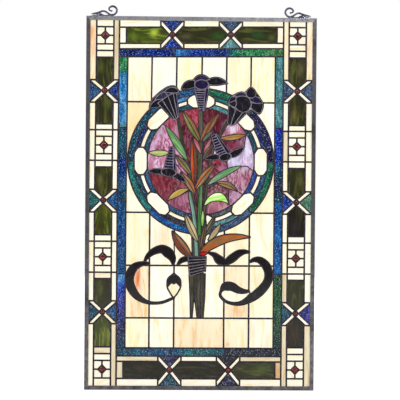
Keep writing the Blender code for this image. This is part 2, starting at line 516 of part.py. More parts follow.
    add("lily_1_ground", "petal", rounded([(146, 209), (150, 192), (167, 174), (186, 161), (200, 158.5), (209, 165), (211.5, 177), (199, 181), (184, 191), (165, 203)], step))
    petals("lily_1", (((181, 194), (145, 209), 17, 0.12, 0.6), ((205, 173), (157, 190), 16, 0.10, 0.5), ((211, 171), (179, 173), 13, 0.26, 0.4)))
    staves("lily_1", ((164, 198), (174, 190.5), (187, 181), (199, 174.5), (207, 175)), ((201, 237), (204, 236), (207, 234), (210, 231), (213, 228)))
    add("lily_2_ground", "petal", rounded([(238, 153), (245, 144), (262, 139), (280, 143), (291, 152), (264, 160)], step))
    petals("lily_2", (((252, 153), (218, 165), 19, 0.18, 0.7), ((276, 150), (323, 151), 18, -0.16, 0.5), ((247, 145), (282, 143), 15, -0.26, 0.3)))
    throat("lily_2", ((247, 162), (281.5, 162)), ((260, 215), (271.5, 215)), 10, 0.24)
    add("lily_2_cup", "petal", blob(264, 154.5, 16, 11, 0, n=26))
    add("lily_3_ground", "petal", rounded([(326, 196), (330, 184), (344, 175), (364, 171), (378, 160), (389, 172), (398, 184), (404, 197), (400, 218), (388, 217), (378, 211),
                                           (362, 219), (342, 213), (328, 205)], step))
    staves("lily_3", ((327, 200), (343, 210), (359, 217), (378, 208)), ((324, 244), (331, 246.5), (338, 246.5), (345, 242)))
    for k, pts in enumerate((((326, 194), (326, 194), (331, 184), (341, 180), (348, 183), (340, 192), (331, 197)),
                             ((336, 182), (336, 182), (345, 174), (358, 171), (368, 177), (366, 184), (351, 182.5)),
                             ((371, 185), (385, 180.5), (397, 185), (405, 196), (405, 196), (391, 196.5), (377, 192)),
                             ((377, 196), (392, 196.5), (405, 197), (403.5, 211), (397, 221), (397, 221), (385, 214), (378, 206)),
                             ((344, 184), (356, 180), (371, 183), (378, 197), (374, 210), (361, 217), (347, 212), (342, 205), (342, 205)),
                             ((327, 197), (334, 193), (342, 191), (344, 199), (341, 206), (341, 206), (333, 203)))):
        add(f"lily_3_petal_{k + 1}", "petal", rounded(pts, step))
    add("lily_3_bud", "petal", rounded([(377.5, 159), (377.5, 159), (385, 165), (389, 174), (385, 182), (377, 184.5), (369, 181), (366, 173), (370, 165)], step))
    throat("lily_4", ((177, 352), (208, 354)), ((193, 297), (201.5, 298)), 9, 0.22)
    petals("lily_4", (((182, 357), (142, 354), 13, 0.08, 0.5), ((199, 361), (230, 379), 14, -0.12, 0.5)))
    add("lily_4_cup", "petal", blob(190, 356, 17, 9.5, 5, n=26))
    throat("lily_5", ((303.5, 326), (334, 313)), ((286.5, 270), (299.5, 266.5)), 9, 0.26)
    petals("lily_5", (((325, 318), (364, 296), 15, 0.12, 0.5), ((311, 320), (271, 325), 13, 0.08, 0.5)))
    add("lily_5_cup", "petal", blob(319.5, 320, 14, 8.5, -14, n=26))

    # wrapped band and the ends of the stems below it
    tail = (((244.5, 588, 11), (245.5, 640, 8), (244.5, 688, 3.2)), ((253.5, 588, 10), (255, 630, 9), (259.5, 688, 3.2)),
            ((262, 588, 9), (261.5, 640, 8.5), (264, 676, 6), (259.5, 688, 3.4)), ((270.5, 588, 10), (270, 640, 9), (269, 690, 4.6)))
    for k, pts in enumerate(tail):
        add(f"tail_stem_{k + 1}", "leaf", ribbon(pts, step), (62, 62, 50), (90, 88, 76), soft="along")
    wraps = 6
    for k in range(wraps):
        t0, t1 = k / wraps, (k + 1) / wraps
        x0a, x1a = 235.5 + 4.5 * t0, 277.5 - 1.5 * t0
        x0b, x1b = 235.5 + 4.5 * t1, 277.5 - 1.5 * t1
        ya, yb = 549 + 40 * t0, 549 + 40 * t1
        add(f"wrap_{k + 1}", "black", [(x0a, ya + 5 * t0), (x1a, ya - 7 * t0), (x1b, yb - 7 * t1), (x0b, yb + 5 * t1)])
    return P


# ---------------------------------------------------------------- cutting
# The outlines overlap like paper cut-outs. The cutting below lays them into one
# flat map in which every spot belongs to the topmost outline, and reads the
# real pieces of glass off it.
EPS = 0.004


def simple(poly):
    """The outline itself, or the outlines of its parts where its line runs over itself."""
    n = len(poly)
    for i in range(n):
        a, b = poly[i - 1], poly[i]
        for j in range(i + 2, n):
            if (j + 1) % n == (i - 1) % n or (i == 0 and j == n - 1):
                continue
            c, d = poly[j - 1], poly[j]
            if j - 1 == i or max(c[0], d[0]) < min(a[0], b[0]) or max(a[0], b[0]) < min(c[0], d[0]):
                continue
            s1 = (b[0] - a[0]) * (c[1] - a[1]) - (b[1] - a[1]) * (c[0] - a[0])
            s2 = (b[0] - a[0]) * (d[1] - a[1]) - (b[1] - a[1]) * (d[0] - a[0])
            s3 = (d[0] - c[0]) * (a[1] - c[1]) - (d[1] - c[1]) * (a[0] - c[0])
            s4 = (d[0] - c[0]) * (b[1] - c[1]) - (d[1] - c[1]) * (b[0] - c[0])
            if s1 * s2 < 0 and s3 * s4 < 0:
                v, tris = inset([poly], 0.0)
                return [[v[q] for q in r] for g in islands(tris) for r in rim_of(g)[:1]]
    return [poly]


def cut_layout(pieces):
    """[(piece, part, loops)]: each connected patch of each piece, its loops as corner lists with the glass on the left."""
    verts, edges, faces, owner = [], [], [], []
    for k, p in enumerate(pieces):
        poly = [q for i, q in enumerate(p.outline) if math.dist(q, p.outline[i - 1]) > 0.02]
        area = sum(a[0] * b[1] - b[0] * a[1] for a, b in zip(poly, poly[1:] + poly[:1]))
        if area < 0:
            poly = poly[::-1]
        for poly in simple(poly):
            base = len(verts)
            verts += [Vector(q) for q in poly]
            faces.append(list(range(base, base + len(poly))))
            owner.append(k)
    v, e, f, ov, oe, of = geometry.delaunay_2d_cdt(verts, [], faces, 1, EPS, True)
    label = []
    for tri, src in zip(f, of):
        label.append(max(owner[s] for s in src) if src else -1)
    # connected patches
    by_edge = {}
    for t, tri in enumerate(f):
        for a, b in zip(tri, tri[1:] + tri[:1]):
            by_edge.setdefault((min(a, b), max(a, b)), []).append(t)
    patch = [-1] * len(f)
    count = 0
    for t in range(len(f)):
        if patch[t] >= 0 or label[t] < 0:
            continue
        stack, patch[t] = [t], count
        while stack:
            s = stack.pop()
            tri = f[s]
            for a, b in zip(tri, tri[1:] + tri[:1]):
                for o in by_edge[(min(a, b), max(a, b))]:
                    if patch[o] < 0 and label[o] == label[t]:
                        patch[o] = count
                        stack.append(o)
        count += 1
    loops_of = [{} for _ in range(count)]
    patch_label = [0] * count
    areas = [0.0] * count
    for t, tri in enumerate(f):
        if patch[t] < 0:
            continue
        patch_label[patch[t]] = label[t]
        a, b, c = (v[i] for i in tri[:3])
        areas[patch[t]] += abs((b.x - a.x) * (c.y - a.y) - (c.x - a.x) * (b.y - a.y)) / 2
        for a, b in zip(tri, tri[1:] + tri[:1]):
            other = [o for o in by_edge[(min(a, b), max(a, b))] if patch[o] != patch[t]]
            if other or len(by_edge[(min(a, b), max(a, b))]) == 1:
                loops_of[patch[t]].setdefault(a, []).append(b)
    out, seen = [], {}
    for n in range(count):
        nxt, loops = loops_of[n], []
        while nxt:
            start = next(iter(nxt))
            loop, at, came = [start], start, None
            while True:
                choices = nxt[at]
                if len(choices) == 1:
                    to = choices[0]
                else:
                    # at a corner where the patch touches itself, turn hardest to the left so that loops stay simple
                    d0 = v[at] - v[came] if came is not None else Vector((1, 0))
                    best = None
                    for c in choices:
                        d = v[c] - v[at]
                        ang = math.atan2(d0.x * d.y - d0.y * d.x, d0.dot(d))
                        if best is None or ang > best[0]:
                            best = (ang, c)
                    to = best[1]
                choices.remove(to)
                if not choices:
                    del nxt[at]
                came, at = at, to
                if at == start:
                    break
                loop.append(at)
            loops.append(loop)
        p = patch_label[n]
        seen[p] = seen.get(p, 0) + 1
        out.append((pieces[p], seen[p], [[(v[i].x, v[i].y) for i in lp] for lp in loops], areas[n], [list(lp) for lp in loops]))
    return out, v


def tidy(loop, tol):
    """Drops corners that lie within tol of the straight line between their neighbours."""
    pts = list(loop)
    changed = True
    while changed and len(pts) > 4:
        changed = False
        i = 0
        while i < len(pts) and len(pts) > 4:
            a, b, c = pts[i - 1], pts[i], pts[(i + 1) % len(pts)]
            dx, dy = c[0] - a[0], c[1] - a[1]
            n = math.hypot(dx, dy)
            d = abs((b[0] - a[0]) * dy - (b[1] - a[1]) * dx) / n if n > 1e-9 else 0.0
            if d < tol and (b[0] - a[0]) * dx + (b[1] - a[1]) * dy > 0:
                pts.pop(i)
                changed = True
            else:
                i += 1
    return pts


def raw_offset(loop, d):
    """The loop moved d to its left, mitred, with blunt corners where a mitre would run long."""
    n = len(loop)
    out = []
    for i in range(n):
        p, a, b = loop[i], loop[i - 1], loop[(i + 1) % n]
        ax, ay, bx, by = p[0] - a[0], p[1] - a[1], b[0] - p[0], b[1] - p[1]
        la, lb = math.hypot(ax, ay), math.hypot(bx, by)
        if la < 1e-6 or lb < 1e-6:
            continue
        n0, n1 = (-ay / la, ax / la), (-by / lb, bx / lb)
        k = 1 + n0[0] * n1[0] + n0[1] * n1[1]
        turn = ax * by - ay * bx
        if (turn * d < 0 and k < 0.5) or k < 0.05:
            # sharp outside corner of the moved line: two points in place of one long mitre
            out.append((p[0] + n0[0] * d, p[1] + n0[1] * d))
            out.append((p[0] + n1[0] * d, p[1] + n1[1] * d))
        else:
            m = d * min(1 / k, 6.0)
            out.append((p[0] + (n0[0] + n1[0]) * m, p[1] + (n0[1] + n1[1]) * m))
    return out


def winding(px, py, loops):
    w = 0
    for lp in loops:
        x0, y0 = lp[-1]
        for x1, y1 in lp:
            if (y0 <= py) != (y1 <= py):
                s = (x1 - x0) * (py - y0) - (px - x0) * (y1 - y0)
                if y1 > y0 and s > 0:
                    w += 1
                elif y1 < y0 and s < 0:
                    w -= 1
            x0, y0 = x1, y1
    return w


def inset(loops, d):
    """The area at least d inside the loops: (corner points, triangles)."""
    moved = [raw_offset(lp, d) for lp in loops]
    moved = [m for m in moved if len(m) > 2]
    if not moved:
        return [], []
    verts, edges = [], []
    for m in moved:
        base = len(verts)
        verts += [Vector(q) for q in m]
        edges += [(base + i, base + (i + 1) % len(m)) for i in range(len(m))]
    v, e, f, *_ = geometry.delaunay_2d_cdt(verts, edges, [], 0, EPS, False)
    keep = []
    for tri in f:
        cx, cy = sum(v[i].x for i in tri) / 3, sum(v[i].y for i in tri) / 3
        if winding(cx, cy, moved) > 0:
            keep.append(tuple(tri))
    return [(q.x, q.y) for q in v], keep


def rim_of(tris):
    """The boundary loops of a set of triangles, as index lists with the area on the left."""
    count, nxt = {}, {}
    for tri in tris:
        for a, b in zip(tri, tri[1:] + tri[:1]):
            count[(a, b)] = count.get((a, b), 0) + 1
    for (a, b) in count:
        if (b, a) not in count:
            nxt.setdefault(a, []).append(b)
    loops = []
    while nxt:
        start = next(iter(nxt))
        loop, at = [start], start
        while True:
            to = nxt[at].pop()
            if not nxt[at]:
                del nxt[at]
            if to == start:
                break
            loop.append(to)
            at = to
        loops.append(loop)
    return loops


def islands(tris):
    """Triangle sets that hang together over edges."""
    by_edge = {}
    for t, tri in enumerate(tris):
        for a, b in zip(tri, tri[1:] + tri[:1]):
            by_edge.setdefault((min(a, b), max(a, b)), []).append(t)
    seen, out = [False] * len(tris), []
    for t in range(len(tris)):
        if seen[t]:
            continue
        seen[t], stack, group = True, [t], []
        while stack:
            s = stack.pop()
            group.append(tris[s])
            tri = tris[s]
            for a, b in zip(tri, tri[1:] + tri[:1]):
                for o in by_edge[(min(a, b), max(a, b))]:
                    if not seen[o]:
                        seen[o] = True
                        stack.append(o)
        out.append(group)
    return out


# ---------------------------------------------------------------- solids
def place(x, y, depth):
    """Panel millimetres to world metres; depth is measured towards the back."""
    return ((x - W / 2) * MM, depth * MM, (BEARING_Y - y) * MM)


def new_object(name, verts, faces, material):
    mesh = bpy.data.meshes.new(name)
    mesh.from_pydata([place(*v) for v in verts], [], faces)
    bm = bmesh.new()
    bm.from_mesh(mesh)
    bmesh.ops.remove_doubles(bm, verts=bm.verts, dist=1e-7)
    bmesh.ops.recalc_face_normals(bm, faces=bm.faces)
    bm.to_mesh(mesh)
    bm.free()
    mesh.materials.append(material)
    ob = bpy.data.objects.new(name, mesh)
    bpy.context.scene.collection.objects.link(ob)
    return ob


def fill(loops):
    """Triangles over the area inside the loops."""
    verts, edges = [], []
    for lp in loops:
        base = len(verts)
        verts += [Vector(q) for q in lp]
        edges += [(base + i, base + (i + 1) % len(lp)) for i in range(len(lp))]
    v, e, f, *_ = geometry.delaunay_2d_cdt(verts, edges, [], 0, EPS, False)
    keep = [tuple(t) for t in f if winding(sum(v[i].x for i in t) / 3, sum(v[i].y for i in t) / 3, loops) > 0]
    return [(q.x, q.y) for q in v], keep


def slab(name, loops, thick, material):
    """A flat piece of even thickness with the given outline."""
    pts, tris = fill(loops)
    n, h = len(pts), thick / 2
    verts = [(x, y, -h) for x, y in pts] + [(x, y, h) for x, y in pts]
    faces = [t for t in tris] + [tuple(i + n for i in t[::-1]) for t in tris]
    for rim in rim_of(tris):
        for a, b in zip(rim, rim[1:] + rim[:1]):
            faces.append((a, b, b + n, a + n))
    return new_object(name, verts, faces, material)


def stepped_plate(name, areas, material):
    """One solid from painted areas: each is (outline, (front, back)) in millimetres, or None for a hole."""
    verts, faces = [], []
    for outline, level in areas:
        base = len(verts)
        verts += [Vector(q) for q in outline]
        faces.append(list(range(base, base + len(outline))))
    v, e, f, ov, oe, of = geometry.delaunay_2d_cdt(verts, [], faces, 1, EPS, True)
    level = [areas[max(src)][1] if src else None for src in of]
    used, by_edge = {}, {}
    for t, tri in enumerate(f):
        for a, b in zip(tri, tri[1:] + tri[:1]):
            by_edge.setdefault((min(a, b), max(a, b)), []).append(t)
        if level[t]:
            for i in tri:
                used.setdefault(i, set()).update(level[t])
    points, index, out = [], {}, []

    def at(i, z):
        if (i, z) not in index:
            index[(i, z)] = len(points)
            points.append((v[i].x, v[i].y, z))
        return index[(i, z)]

    def wall(a, b, z0, z1):
        ca = sorted(z for z in used[a] if z0 <= z <= z1)
        cb = sorted(z for z in used[b] if z0 <= z <= z1)
        i = j = 0
        while i < len(ca) - 1 or j < len(cb) - 1:
            if j == len(cb) - 1 or (i < len(ca) - 1 and ca[i + 1] <= cb[j + 1]):
                out.append((at(a, ca[i]), at(b, cb[j]), at(a, ca[i + 1])))
                i += 1
            else:
                out.append((at(a, ca[i]), at(b, cb[j]), at(b, cb[j + 1])))
                j += 1

    for t, tri in enumerate(f):
        if level[t]:
            out.append(tuple(at(i, level[t][0]) for i in tri))
            out.append(tuple(at(i, level[t][1]) for i in tri[::-1]))
    for (a, b), ts in by_edge.items():
        one = level[ts[0]]
        two = level[ts[1]] if len(ts) > 1 else None
        if one == two:
            continue
        if one is None or two is None:
            wall(a, b, *(one or two))
            continue
        for k in (0, 1):
            if one[k] != two[k]:
                wall(a, b, min(one[k], two[k]), max(one[k], two[k]))
    return new_object(name, points, out, material)


def size_of(tris, pts):
    return sum(abs((pts[t[1]][0] - pts[t[0]][0]) * (pts[t[2]][1] - pts[t[0]][1])
                   - (pts[t[2]][0] - pts[t[0]][0]) * (pts[t[1]][1] - pts[t[0]][1])) / 2 for t in tris)


def largest(loops, d, tol):
    """The outline of the largest piece left when the loops are drawn in by d."""
    pts, tris = inset([tidy(lp, tol) for lp in loops], d)
    groups = islands(tris)
    if not groups:
        return None, 0.0
    best = max(groups, key=lambda g: size_of(g, pts))
    rims = [tidy([pts[i] for i in rim], 0.06) for rim in rim_of(best)]
    return [lp for lp in rims if abs(turned(lp)) > 25.0], size_of(best, pts)


def turned(lp):
    return sum(a[0] * b[1] - b[0] * a[1] for a, b in zip(lp, lp[1:] + lp[:1])) / 2


def surface(name, colour, rough, metal=0.0, alpha=1.0):
    m = bpy.data.materials.new(name)
    m.use_nodes = True
    s = m.node_tree.nodes["Principled BSDF"]
    s.inputs["Base Color"].default_value = (*colour, 1.0)
    s.inputs["Roughness"].default_value = rough
    s.inputs["Metallic"].default_value = metal
    s.inputs["Alpha"].default_value = alpha
    m.diffuse_color = (*colour, 1.0)
    return m


def main():
    zinc = surface("zinc_channel", (0.20, 0.20, 0.21), 0.42, 0.9)
    cast = surface("cast_hanger", (0.10, 0.095, 0.09), 0.50, 0.8)
    solder = surface("solder", (0.16, 0.14, 0.155), 0.40, 0.7)
    glasses = {"cream": surface("cream_glass", (0.93, 0.80, 0.58), 0.15),
               "moss": surface("green_glass", (0.06, 0.09, 0.02), 0.12),
               "ripple": surface("blue_glass", (0.02, 0.10, 0.24), 0.12)}

    pieces = build_layout(9.0)
    patches, _ = cut_layout(pieces)

    # panes that are solids of their own, and the sunk fields in the web
    own, sunk, count = [], [], {}
    for piece, part, loops, area, ids in sorted(patches, key=lambda p: (p[0].name, -p[3])):
        family = piece.name.split("_")[0]
        alone = family in ("green", "band", "field")
        rims, size = largest(loops, BAR_HALF + GAP, 0.5 if alone else 1.4)
        if not rims:
            continue
        if alone and size > (PANE_MIN if family == "field" else 900.0):
            count[piece.name] = count.get(piece.name, 0) + 1
            name = "pane_" + piece.name + ("" if count[piece.name] == 1 else "abcdef"[count[piece.name] - 1])
            own.append((name, rims, piece.glass))
        elif size > RECESS_MIN:
            sunk.append([lp for lp in rims if turned(lp) > 0])

    half = BEAD / 2
    edge = CHANNEL_WEB + GAP
    full, low, floor = (-half, half), (-TONGUE / 2, TONGUE / 2), (-GLASS / 2, GLASS / 2)
    areas = [([(edge, edge), (W - edge, edge), (W - edge, H - edge), (edge, H - edge)], full)]
    for loops in sunk:
        areas += [(lp, floor) for lp in loops]
    for name, rims, glass in own:
        slab(name, rims, GLASS, glasses[glass])
        pts, tris = inset(rims, -GAP)
        for rim in rim_of(tris):
            lp = [pts[i] for i in rim]
            areas.append((lp, None) if turned(lp) > 0 else (lp[::-1], full))
    lip = RAIL + GAP
    for x0, y0, x1, y1 in ((edge, edge, W - edge, lip), (edge, H - lip, W - edge, H - edge),
                           (edge, edge, lip, H - edge), (W - lip, edge, W - edge, H - edge)):
        areas.append(([(x0, y0), (x1, y0), (x1, y1), (x0, y1)], low))
    stepped_plate("solder_web", areas, solder)

    # zinc channel, mitred at the corners
    h, s = FRAME_DEEP / 2, SLOT / 2
    profile = ((0.0, -h), (RAIL, -h), (RAIL, -s), (CHANNEL_WEB, -s), (CHANNEL_WEB, s), (RAIL, s), (RAIL, h), (0.0, h))
    caps = ((0, 1, 2, 3), (0, 3, 4, 7), (4, 5, 6, 7))
    cut = GAP / math.sqrt(2)
    for name, length, to_panel in (("rail_top", W, lambda u, t: (t, u)), ("rail_bottom", W, lambda u, t: (t, H - u)),
                                   ("rail_left", H, lambda u, t: (u, t)), ("rail_right", H, lambda u, t: (W - u, t))):
        verts = [(*to_panel(u, u + cut), d) for u, d in profile] + [(*to_panel(u, length - u - cut), d) for u, d in profile]
        faces = [(i, (i + 1) % 8, (i + 1) % 8 + 8, i + 8) for i in range(8)]
        faces += [c for c in caps] + [tuple(i + 8 for i in c[::-1]) for c in caps]
        new_object(name, verts, faces, zinc)

    # scroll hangers: a leaf-ended scroll with a hanging loop, a small leaf and a foot along the rail
    scroll = ((11, -4.4, 1.0), (17, -5.6, 3.2), (25, -6.9, 4.2), (31, -9.4, 4.0), (37, -11.4, 3.8), (43, -10.4, 3.8),
              (49, -6.4, 3.8), (54, -3.4, 3.8), (60, -2.6, 3.8), (65, -5.0, 3.8), (68.6, -10.0, 3.8), (69, -15.0, 3.8),
              (66, -20.0, 3.9), (60, -22.5, 4.0), (54, -20.8, 3.6), (51.2, -16.5, 3.2), (53.2, -12.6, 2.9), (57.0, -11.6, 2.4))
    strokes = (scroll, ((27.5, -2.2, 1.6), (31, -4.6, 3.2), (36, -3.8, 2.6), (39, -2.2, 1.4)),
               ((20, -1.9, 3.2), (41, -1.9, 3.2), (62, -1.9, 3.2)), ((23.5, -7.2, 3.4), (24.5, -4.5, 4.0), (25, -2.0, 5.0)))
    outlines = [ribbon(st, 2.0) for st in strokes] + [circle(57.2, -12.0, 2.0, 12)]
    verts, polys = [], []
    for o in outlines:
        o = o if turned(o) > 0 else o[::-1]
        base = len(verts)
        verts += [Vector(q) for q in o]
        polys.append(list(range(base, base + len(o))))
    v, e, f, ov, oe, of = geometry.delaunay_2d_cdt(verts, [], polys, 1, EPS, True)
    tris = [tuple(t) for t, src in zip(f, of) if src]
    pts = [(q.x, q.y) for q in v]
    rims = [tidy([pts[i] for i in rim], 0.04) for rim in rim_of(max(islands(tris), key=lambda g: size_of(g, pts)))]
    slab("hanger_left", rims, HANGER_DEEP, cast)
    slab("hanger_right", [[(HANGER_RIGHT - x, y) for x, y in lp[::-1]] for lp in rims], HANGER_DEEP, cast)


main()
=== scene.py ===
"""Leaded window panel: copper-foiled glass in a zinc channel, with a lily medallion, a mosaic border and two
scroll hangers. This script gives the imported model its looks: every glass piece, the solder beads between
them, the faceted garnets, the hangers and all materials."""
import math

import bmesh
import bpy
import numpy as np
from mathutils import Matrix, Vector, geometry, noise


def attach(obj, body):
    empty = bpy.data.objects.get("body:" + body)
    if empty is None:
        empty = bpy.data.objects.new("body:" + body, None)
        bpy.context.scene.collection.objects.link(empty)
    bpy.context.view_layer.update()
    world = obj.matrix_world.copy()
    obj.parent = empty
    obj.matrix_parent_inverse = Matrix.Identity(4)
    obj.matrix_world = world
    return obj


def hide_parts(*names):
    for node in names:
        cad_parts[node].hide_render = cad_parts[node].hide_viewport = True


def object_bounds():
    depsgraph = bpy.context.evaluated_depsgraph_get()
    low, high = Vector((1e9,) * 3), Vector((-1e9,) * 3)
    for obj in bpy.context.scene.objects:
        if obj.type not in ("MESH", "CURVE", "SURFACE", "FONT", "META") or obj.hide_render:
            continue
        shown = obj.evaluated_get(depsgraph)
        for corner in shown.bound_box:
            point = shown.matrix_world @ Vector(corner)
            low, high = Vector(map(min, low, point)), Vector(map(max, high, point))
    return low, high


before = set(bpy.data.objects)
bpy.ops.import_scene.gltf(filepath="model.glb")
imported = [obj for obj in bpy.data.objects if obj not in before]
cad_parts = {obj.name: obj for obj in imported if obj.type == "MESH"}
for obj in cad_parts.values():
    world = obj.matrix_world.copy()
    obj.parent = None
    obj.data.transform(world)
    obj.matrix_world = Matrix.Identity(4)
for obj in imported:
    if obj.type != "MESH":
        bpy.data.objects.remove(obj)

CAD_BOX = [list(c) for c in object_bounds()]
MM = 0.001
BEARING_Y = -20.5                # height of the hanging point in panel millimetres
EPS = 0.004                      # merge distance of the cutting, mm


# ---------------------------------------------------------------- layout
# Everything in this section is in panel millimetres: x to the right from
# the left outer edge, y down from the top outer edge, seen from the front.
W, H = 527.0, 855.0              # outer size of the framed panel
RAIL = 9.5                       # face width of the zinc channel
REACH = 4.0                      # glass edge inside the channel
COL_L = (23.6, 62.8, 75.6, 95.0)     # left column: strip | block | strip | band | field
COL_R = (503.3, 464.2, 451.3, 433.0)   # the same lines on the right, from outside in
TOP = (25.2, 62.0, 74.6, 92.6)       # top row: strip | green | strip | band | field
BOT = (829.2, 790.0, 777.4, 759.0)   # bottom row, from outside in
TOP_TILT = 4.0                   # the top row climbs this much from left to right
CORNER_T = (23.4, 62.6, 77.6, 93.0)
CORNER_B = (828.5, 788.0, 772.5, 756.8)
MID_1 = (246.2, 259.8, 274.7, 314.5, 329.7, 344.8)
MID_2 = (500.5, 515.5, 531.0, 571.0, 586.5, 601.0)
CROSS_Y = ((144.6, 196.0), (396.8, 448.8), (652.2, 704.6))
CROSS_TX = ((169.8, 222.6), (303.4, 356.6))
CROSS_BX = ((168.6, 221.6), (303.0, 356.6))
BAND_JOINTS = (254.0, 422.5, 589.0)
FIELD_X = ((150.6, 147.6), (207.2, 204.2), (265.0, 262.6), (321.6, 319.0), (377.6, 376.2))
FIELD_Y = (195.0, 321.0, 448.0, 569.5, 690.0)
RING_C = (263.5, 330.5)
RING_R = (167.0, 152.8, 122.2)   # outer edge, under the band, inside the lozenge ring
STRIP_R = (132.2, 142.6)         # cream strip between two lozenges
LOZ_L, LOZ_CUT = 31.6, (13.0, 9.6)
GEM, ROUND_GEM = 9.6, 5.6        # half diagonal of the square gems, radius of the round ones
ARM_W = 9.2


def clamp(v, a, b):
    return max(a, min(b, v))


def bow(y):
    """The left column leans in a little towards the middle of the panel."""
    return -1.25 * (1 - math.cos(math.pi * min(y, 480.0) / 480.0))


def left(i, y):
    return REACH if i < 0 else COL_L[i] + bow(y)


def right(i, y):
    return W - REACH if i < 0 else COL_R[i]


def tilt(x):
    return -TOP_TILT * clamp((x - 76.0) / 375.0, 0.0, 1.0)


def circle(cx, cy, r, n=20, a0=0.0):
    return [(cx + r * math.cos(a0 + 2 * math.pi * i / n), cy + r * math.sin(a0 + 2 * math.pi * i / n)) for i in range(n)]


def ring_at(r, deg):
    a = math.radians(deg)
    return (RING_C[0] + r * math.cos(a), RING_C[1] + r * math.sin(a))


def sector(r0, r1, d0, d1, step):
    """Part of a ring about RING_C, angles in degrees clockwise from the right."""
    n = max(2, int(math.ceil(math.radians(abs(d1 - d0)) * r1 / step)))
    outer = [ring_at(r1, d0 + (d1 - d0) * i / n) for i in range(n + 1)]
    inner = [ring_at(r0, d0 + (d1 - d0) * i / n) for i in range(n + 1)]
    return outer + inner[::-1]


def keep_side(poly, px, py, nx, ny):
    """The part of a convex outline where (p - (px, py)) . (nx, ny) is not negative."""
    out = []
    for i, a in enumerate(poly):
        b = poly[(i + 1) % len(poly)]
        da = (a[0] - px) * nx + (a[1] - py) * ny
        db = (b[0] - px) * nx + (b[1] - py) * ny
        if da >= 0:
            out.append(a)
        if (da > 0 > db) or (da < 0 < db):
            t = da / (da - db)
            out.append((a[0] + (b[0] - a[0]) * t, a[1] + (b[1] - a[1]) * t))
    return out


def bar(a, b, w):
    """A straight strip of width w from a to b."""
    dx, dy = b[0] - a[0], b[1] - a[1]
    n = math.hypot(dx, dy)
    ox, oy = -dy / n * w / 2, dx / n * w / 2
    return [(a[0] + ox, a[1] + oy), (b[0] + ox, b[1] + oy), (b[0] - ox, b[1] - oy), (a[0] - ox, a[1] - oy)]


def spline(points, step):
    """Points along a smooth curve through the given ones; extra columns, such as a width, run along."""
    out = []
    n = len(points)
    for i in range(n - 1):
        p0, p1, p2, p3 = points[max(i - 1, 0)], points[i], points[i + 1], points[min(i + 2, n - 1)]
        m = max(2, int(math.ceil(math.hypot(p2[0] - p1[0], p2[1] - p1[1]) / step)))
        for k in range(m):
            t = k / m
            out.append(tuple(0.5 * (2 * b + (c - a) * t + (2 * a - 5 * b + 4 * c - d) * t * t + (3 * b - a - 3 * c + d) * t ** 3)
                             for a, b, c, d in zip(p0, p1, p2, p3)))
    out.append(tuple(float(v) for v in points[-1]))
    return out


def ribbon(points, step):
    """Outline of a band whose width changes: points are (x, y, width)."""
    line = spline(points, step)
    a, b = [], []
    for i, (x, y, w) in enumerate(line):
        q, r = line[max(i - 1, 0)], line[min(i + 1, len(line) - 1)]
        dx, dy = r[0] - q[0], r[1] - q[1]
        n = math.hypot(dx, dy) or 1.0
        w = max(w, 0.6) / 2
        a.append((x - dy / n * w, y + dx / n * w))
        b.append((x + dy / n * w, y - dx / n * w))
    return a + b[::-1]


def rounded(points, step):
    """A closed smooth outline through the points; a point given twice stays a corner."""
    out, n = [], len(points)
    for i in range(n):
        p0, p1, p2, p3 = points[i - 1], points[i], points[(i + 1) % n], points[(i + 2) % n]
        if p1 == p2:
            continue
        m = max(2, int(math.ceil(math.dist(p1, p2) / step)))
        for k in range(m):
            t = k / m
            out.append(tuple(0.5 * (2 * b + (c - a) * t + (2 * a - 5 * b + 4 * c - d) * t * t + (3 * b - a - 3 * c + d) * t ** 3)
                             for a, b, c, d in zip(p0, p1, p2, p3)))
    return out


def leaf(base, tip, width, bend, step, butt=0.3, belly=0.45, half=0):
    """A lance-shaped leaf from its base to its pointed tip; bend is the sideways bow over the length.
    half 1 or -1 gives the part on one side of the midrib."""
    bx, by = base
    dx, dy = tip[0] - bx, tip[1] - by
    length = math.hypot(dx, dy)
    cx, cy = bx + dx * 0.5 - dy * bend * 1.0, by + dy * 0.5 + dx * bend * 1.0
    n = max(6, int(math.ceil(length * 1.1 / step)))
    a, b = [], []
    for i in range(n + 1):
        t = i / n
        x = (1 - t) ** 2 * bx + 2 * t * (1 - t) * cx + t * t * tip[0]
        y = (1 - t) ** 2 * by + 2 * t * (1 - t) * cy + t * t * tip[1]
        tx = 2 * (1 - t) * (cx - bx) + 2 * t * (tip[0] - cx)
        ty = 2 * (1 - t) * (cy - by) + 2 * t * (tip[1] - cy)
        m = math.hypot(tx, ty)
        if t < belly:
            s = t / belly
            w = butt + (1 - butt) * math.sin(s * math.pi / 2)
        else:
            s = (t - belly) / (1 - belly)
            w = math.cos(s * math.pi / 2) ** 0.85 if s < 1 else 0.0
        w *= width / 2
        wa, wb = (w if half >= 0 else 0.0), (w if half <= 0 else 0.0)
        a.append((x - ty / m * wa, y + tx / m * wa))
        b.append((x + ty / m * wb, y - tx / m * wb))
    return a[:-1] + [tip] + b[:-1][::-1]


def blob(cx, cy, rx, ry, deg, n=18, nose=0.0):
    """An egg-shaped petal."""
    c, s = math.cos(math.radians(deg)), math.sin(math.radians(deg))
    out = []
    for i in range(n):
        a = 2 * math.pi * i / n
        u, v = rx * math.cos(a), ry * math.sin(a) * (1 - nose * math.cos(a))
        out.append((cx + u * c - v * s, cy + u * s + v * c))
    return out


class Piece:
    """One cut piece before the ones above it are taken off: its name, glass, outline, streak angle and tints."""

    def __init__(self, name, glass, outline, tint_a=None, tint_b=None, grain=90.0, soft=None):
        self.name, self.glass, self.outline = name, glass, outline
        self.tint_a, self.tint_b, self.grain, self.soft = tint_a, tint_b, grain, soft


CREAM = ((1.0, 0.93, 0.74), (0.98, 0.82, 0.55))
AMBER = ((1.0, 0.86, 0.62), (0.93, 0.48, 0.13))
PALE = ((1.0, 0.98, 0.92), (1.0, 0.93, 0.78))


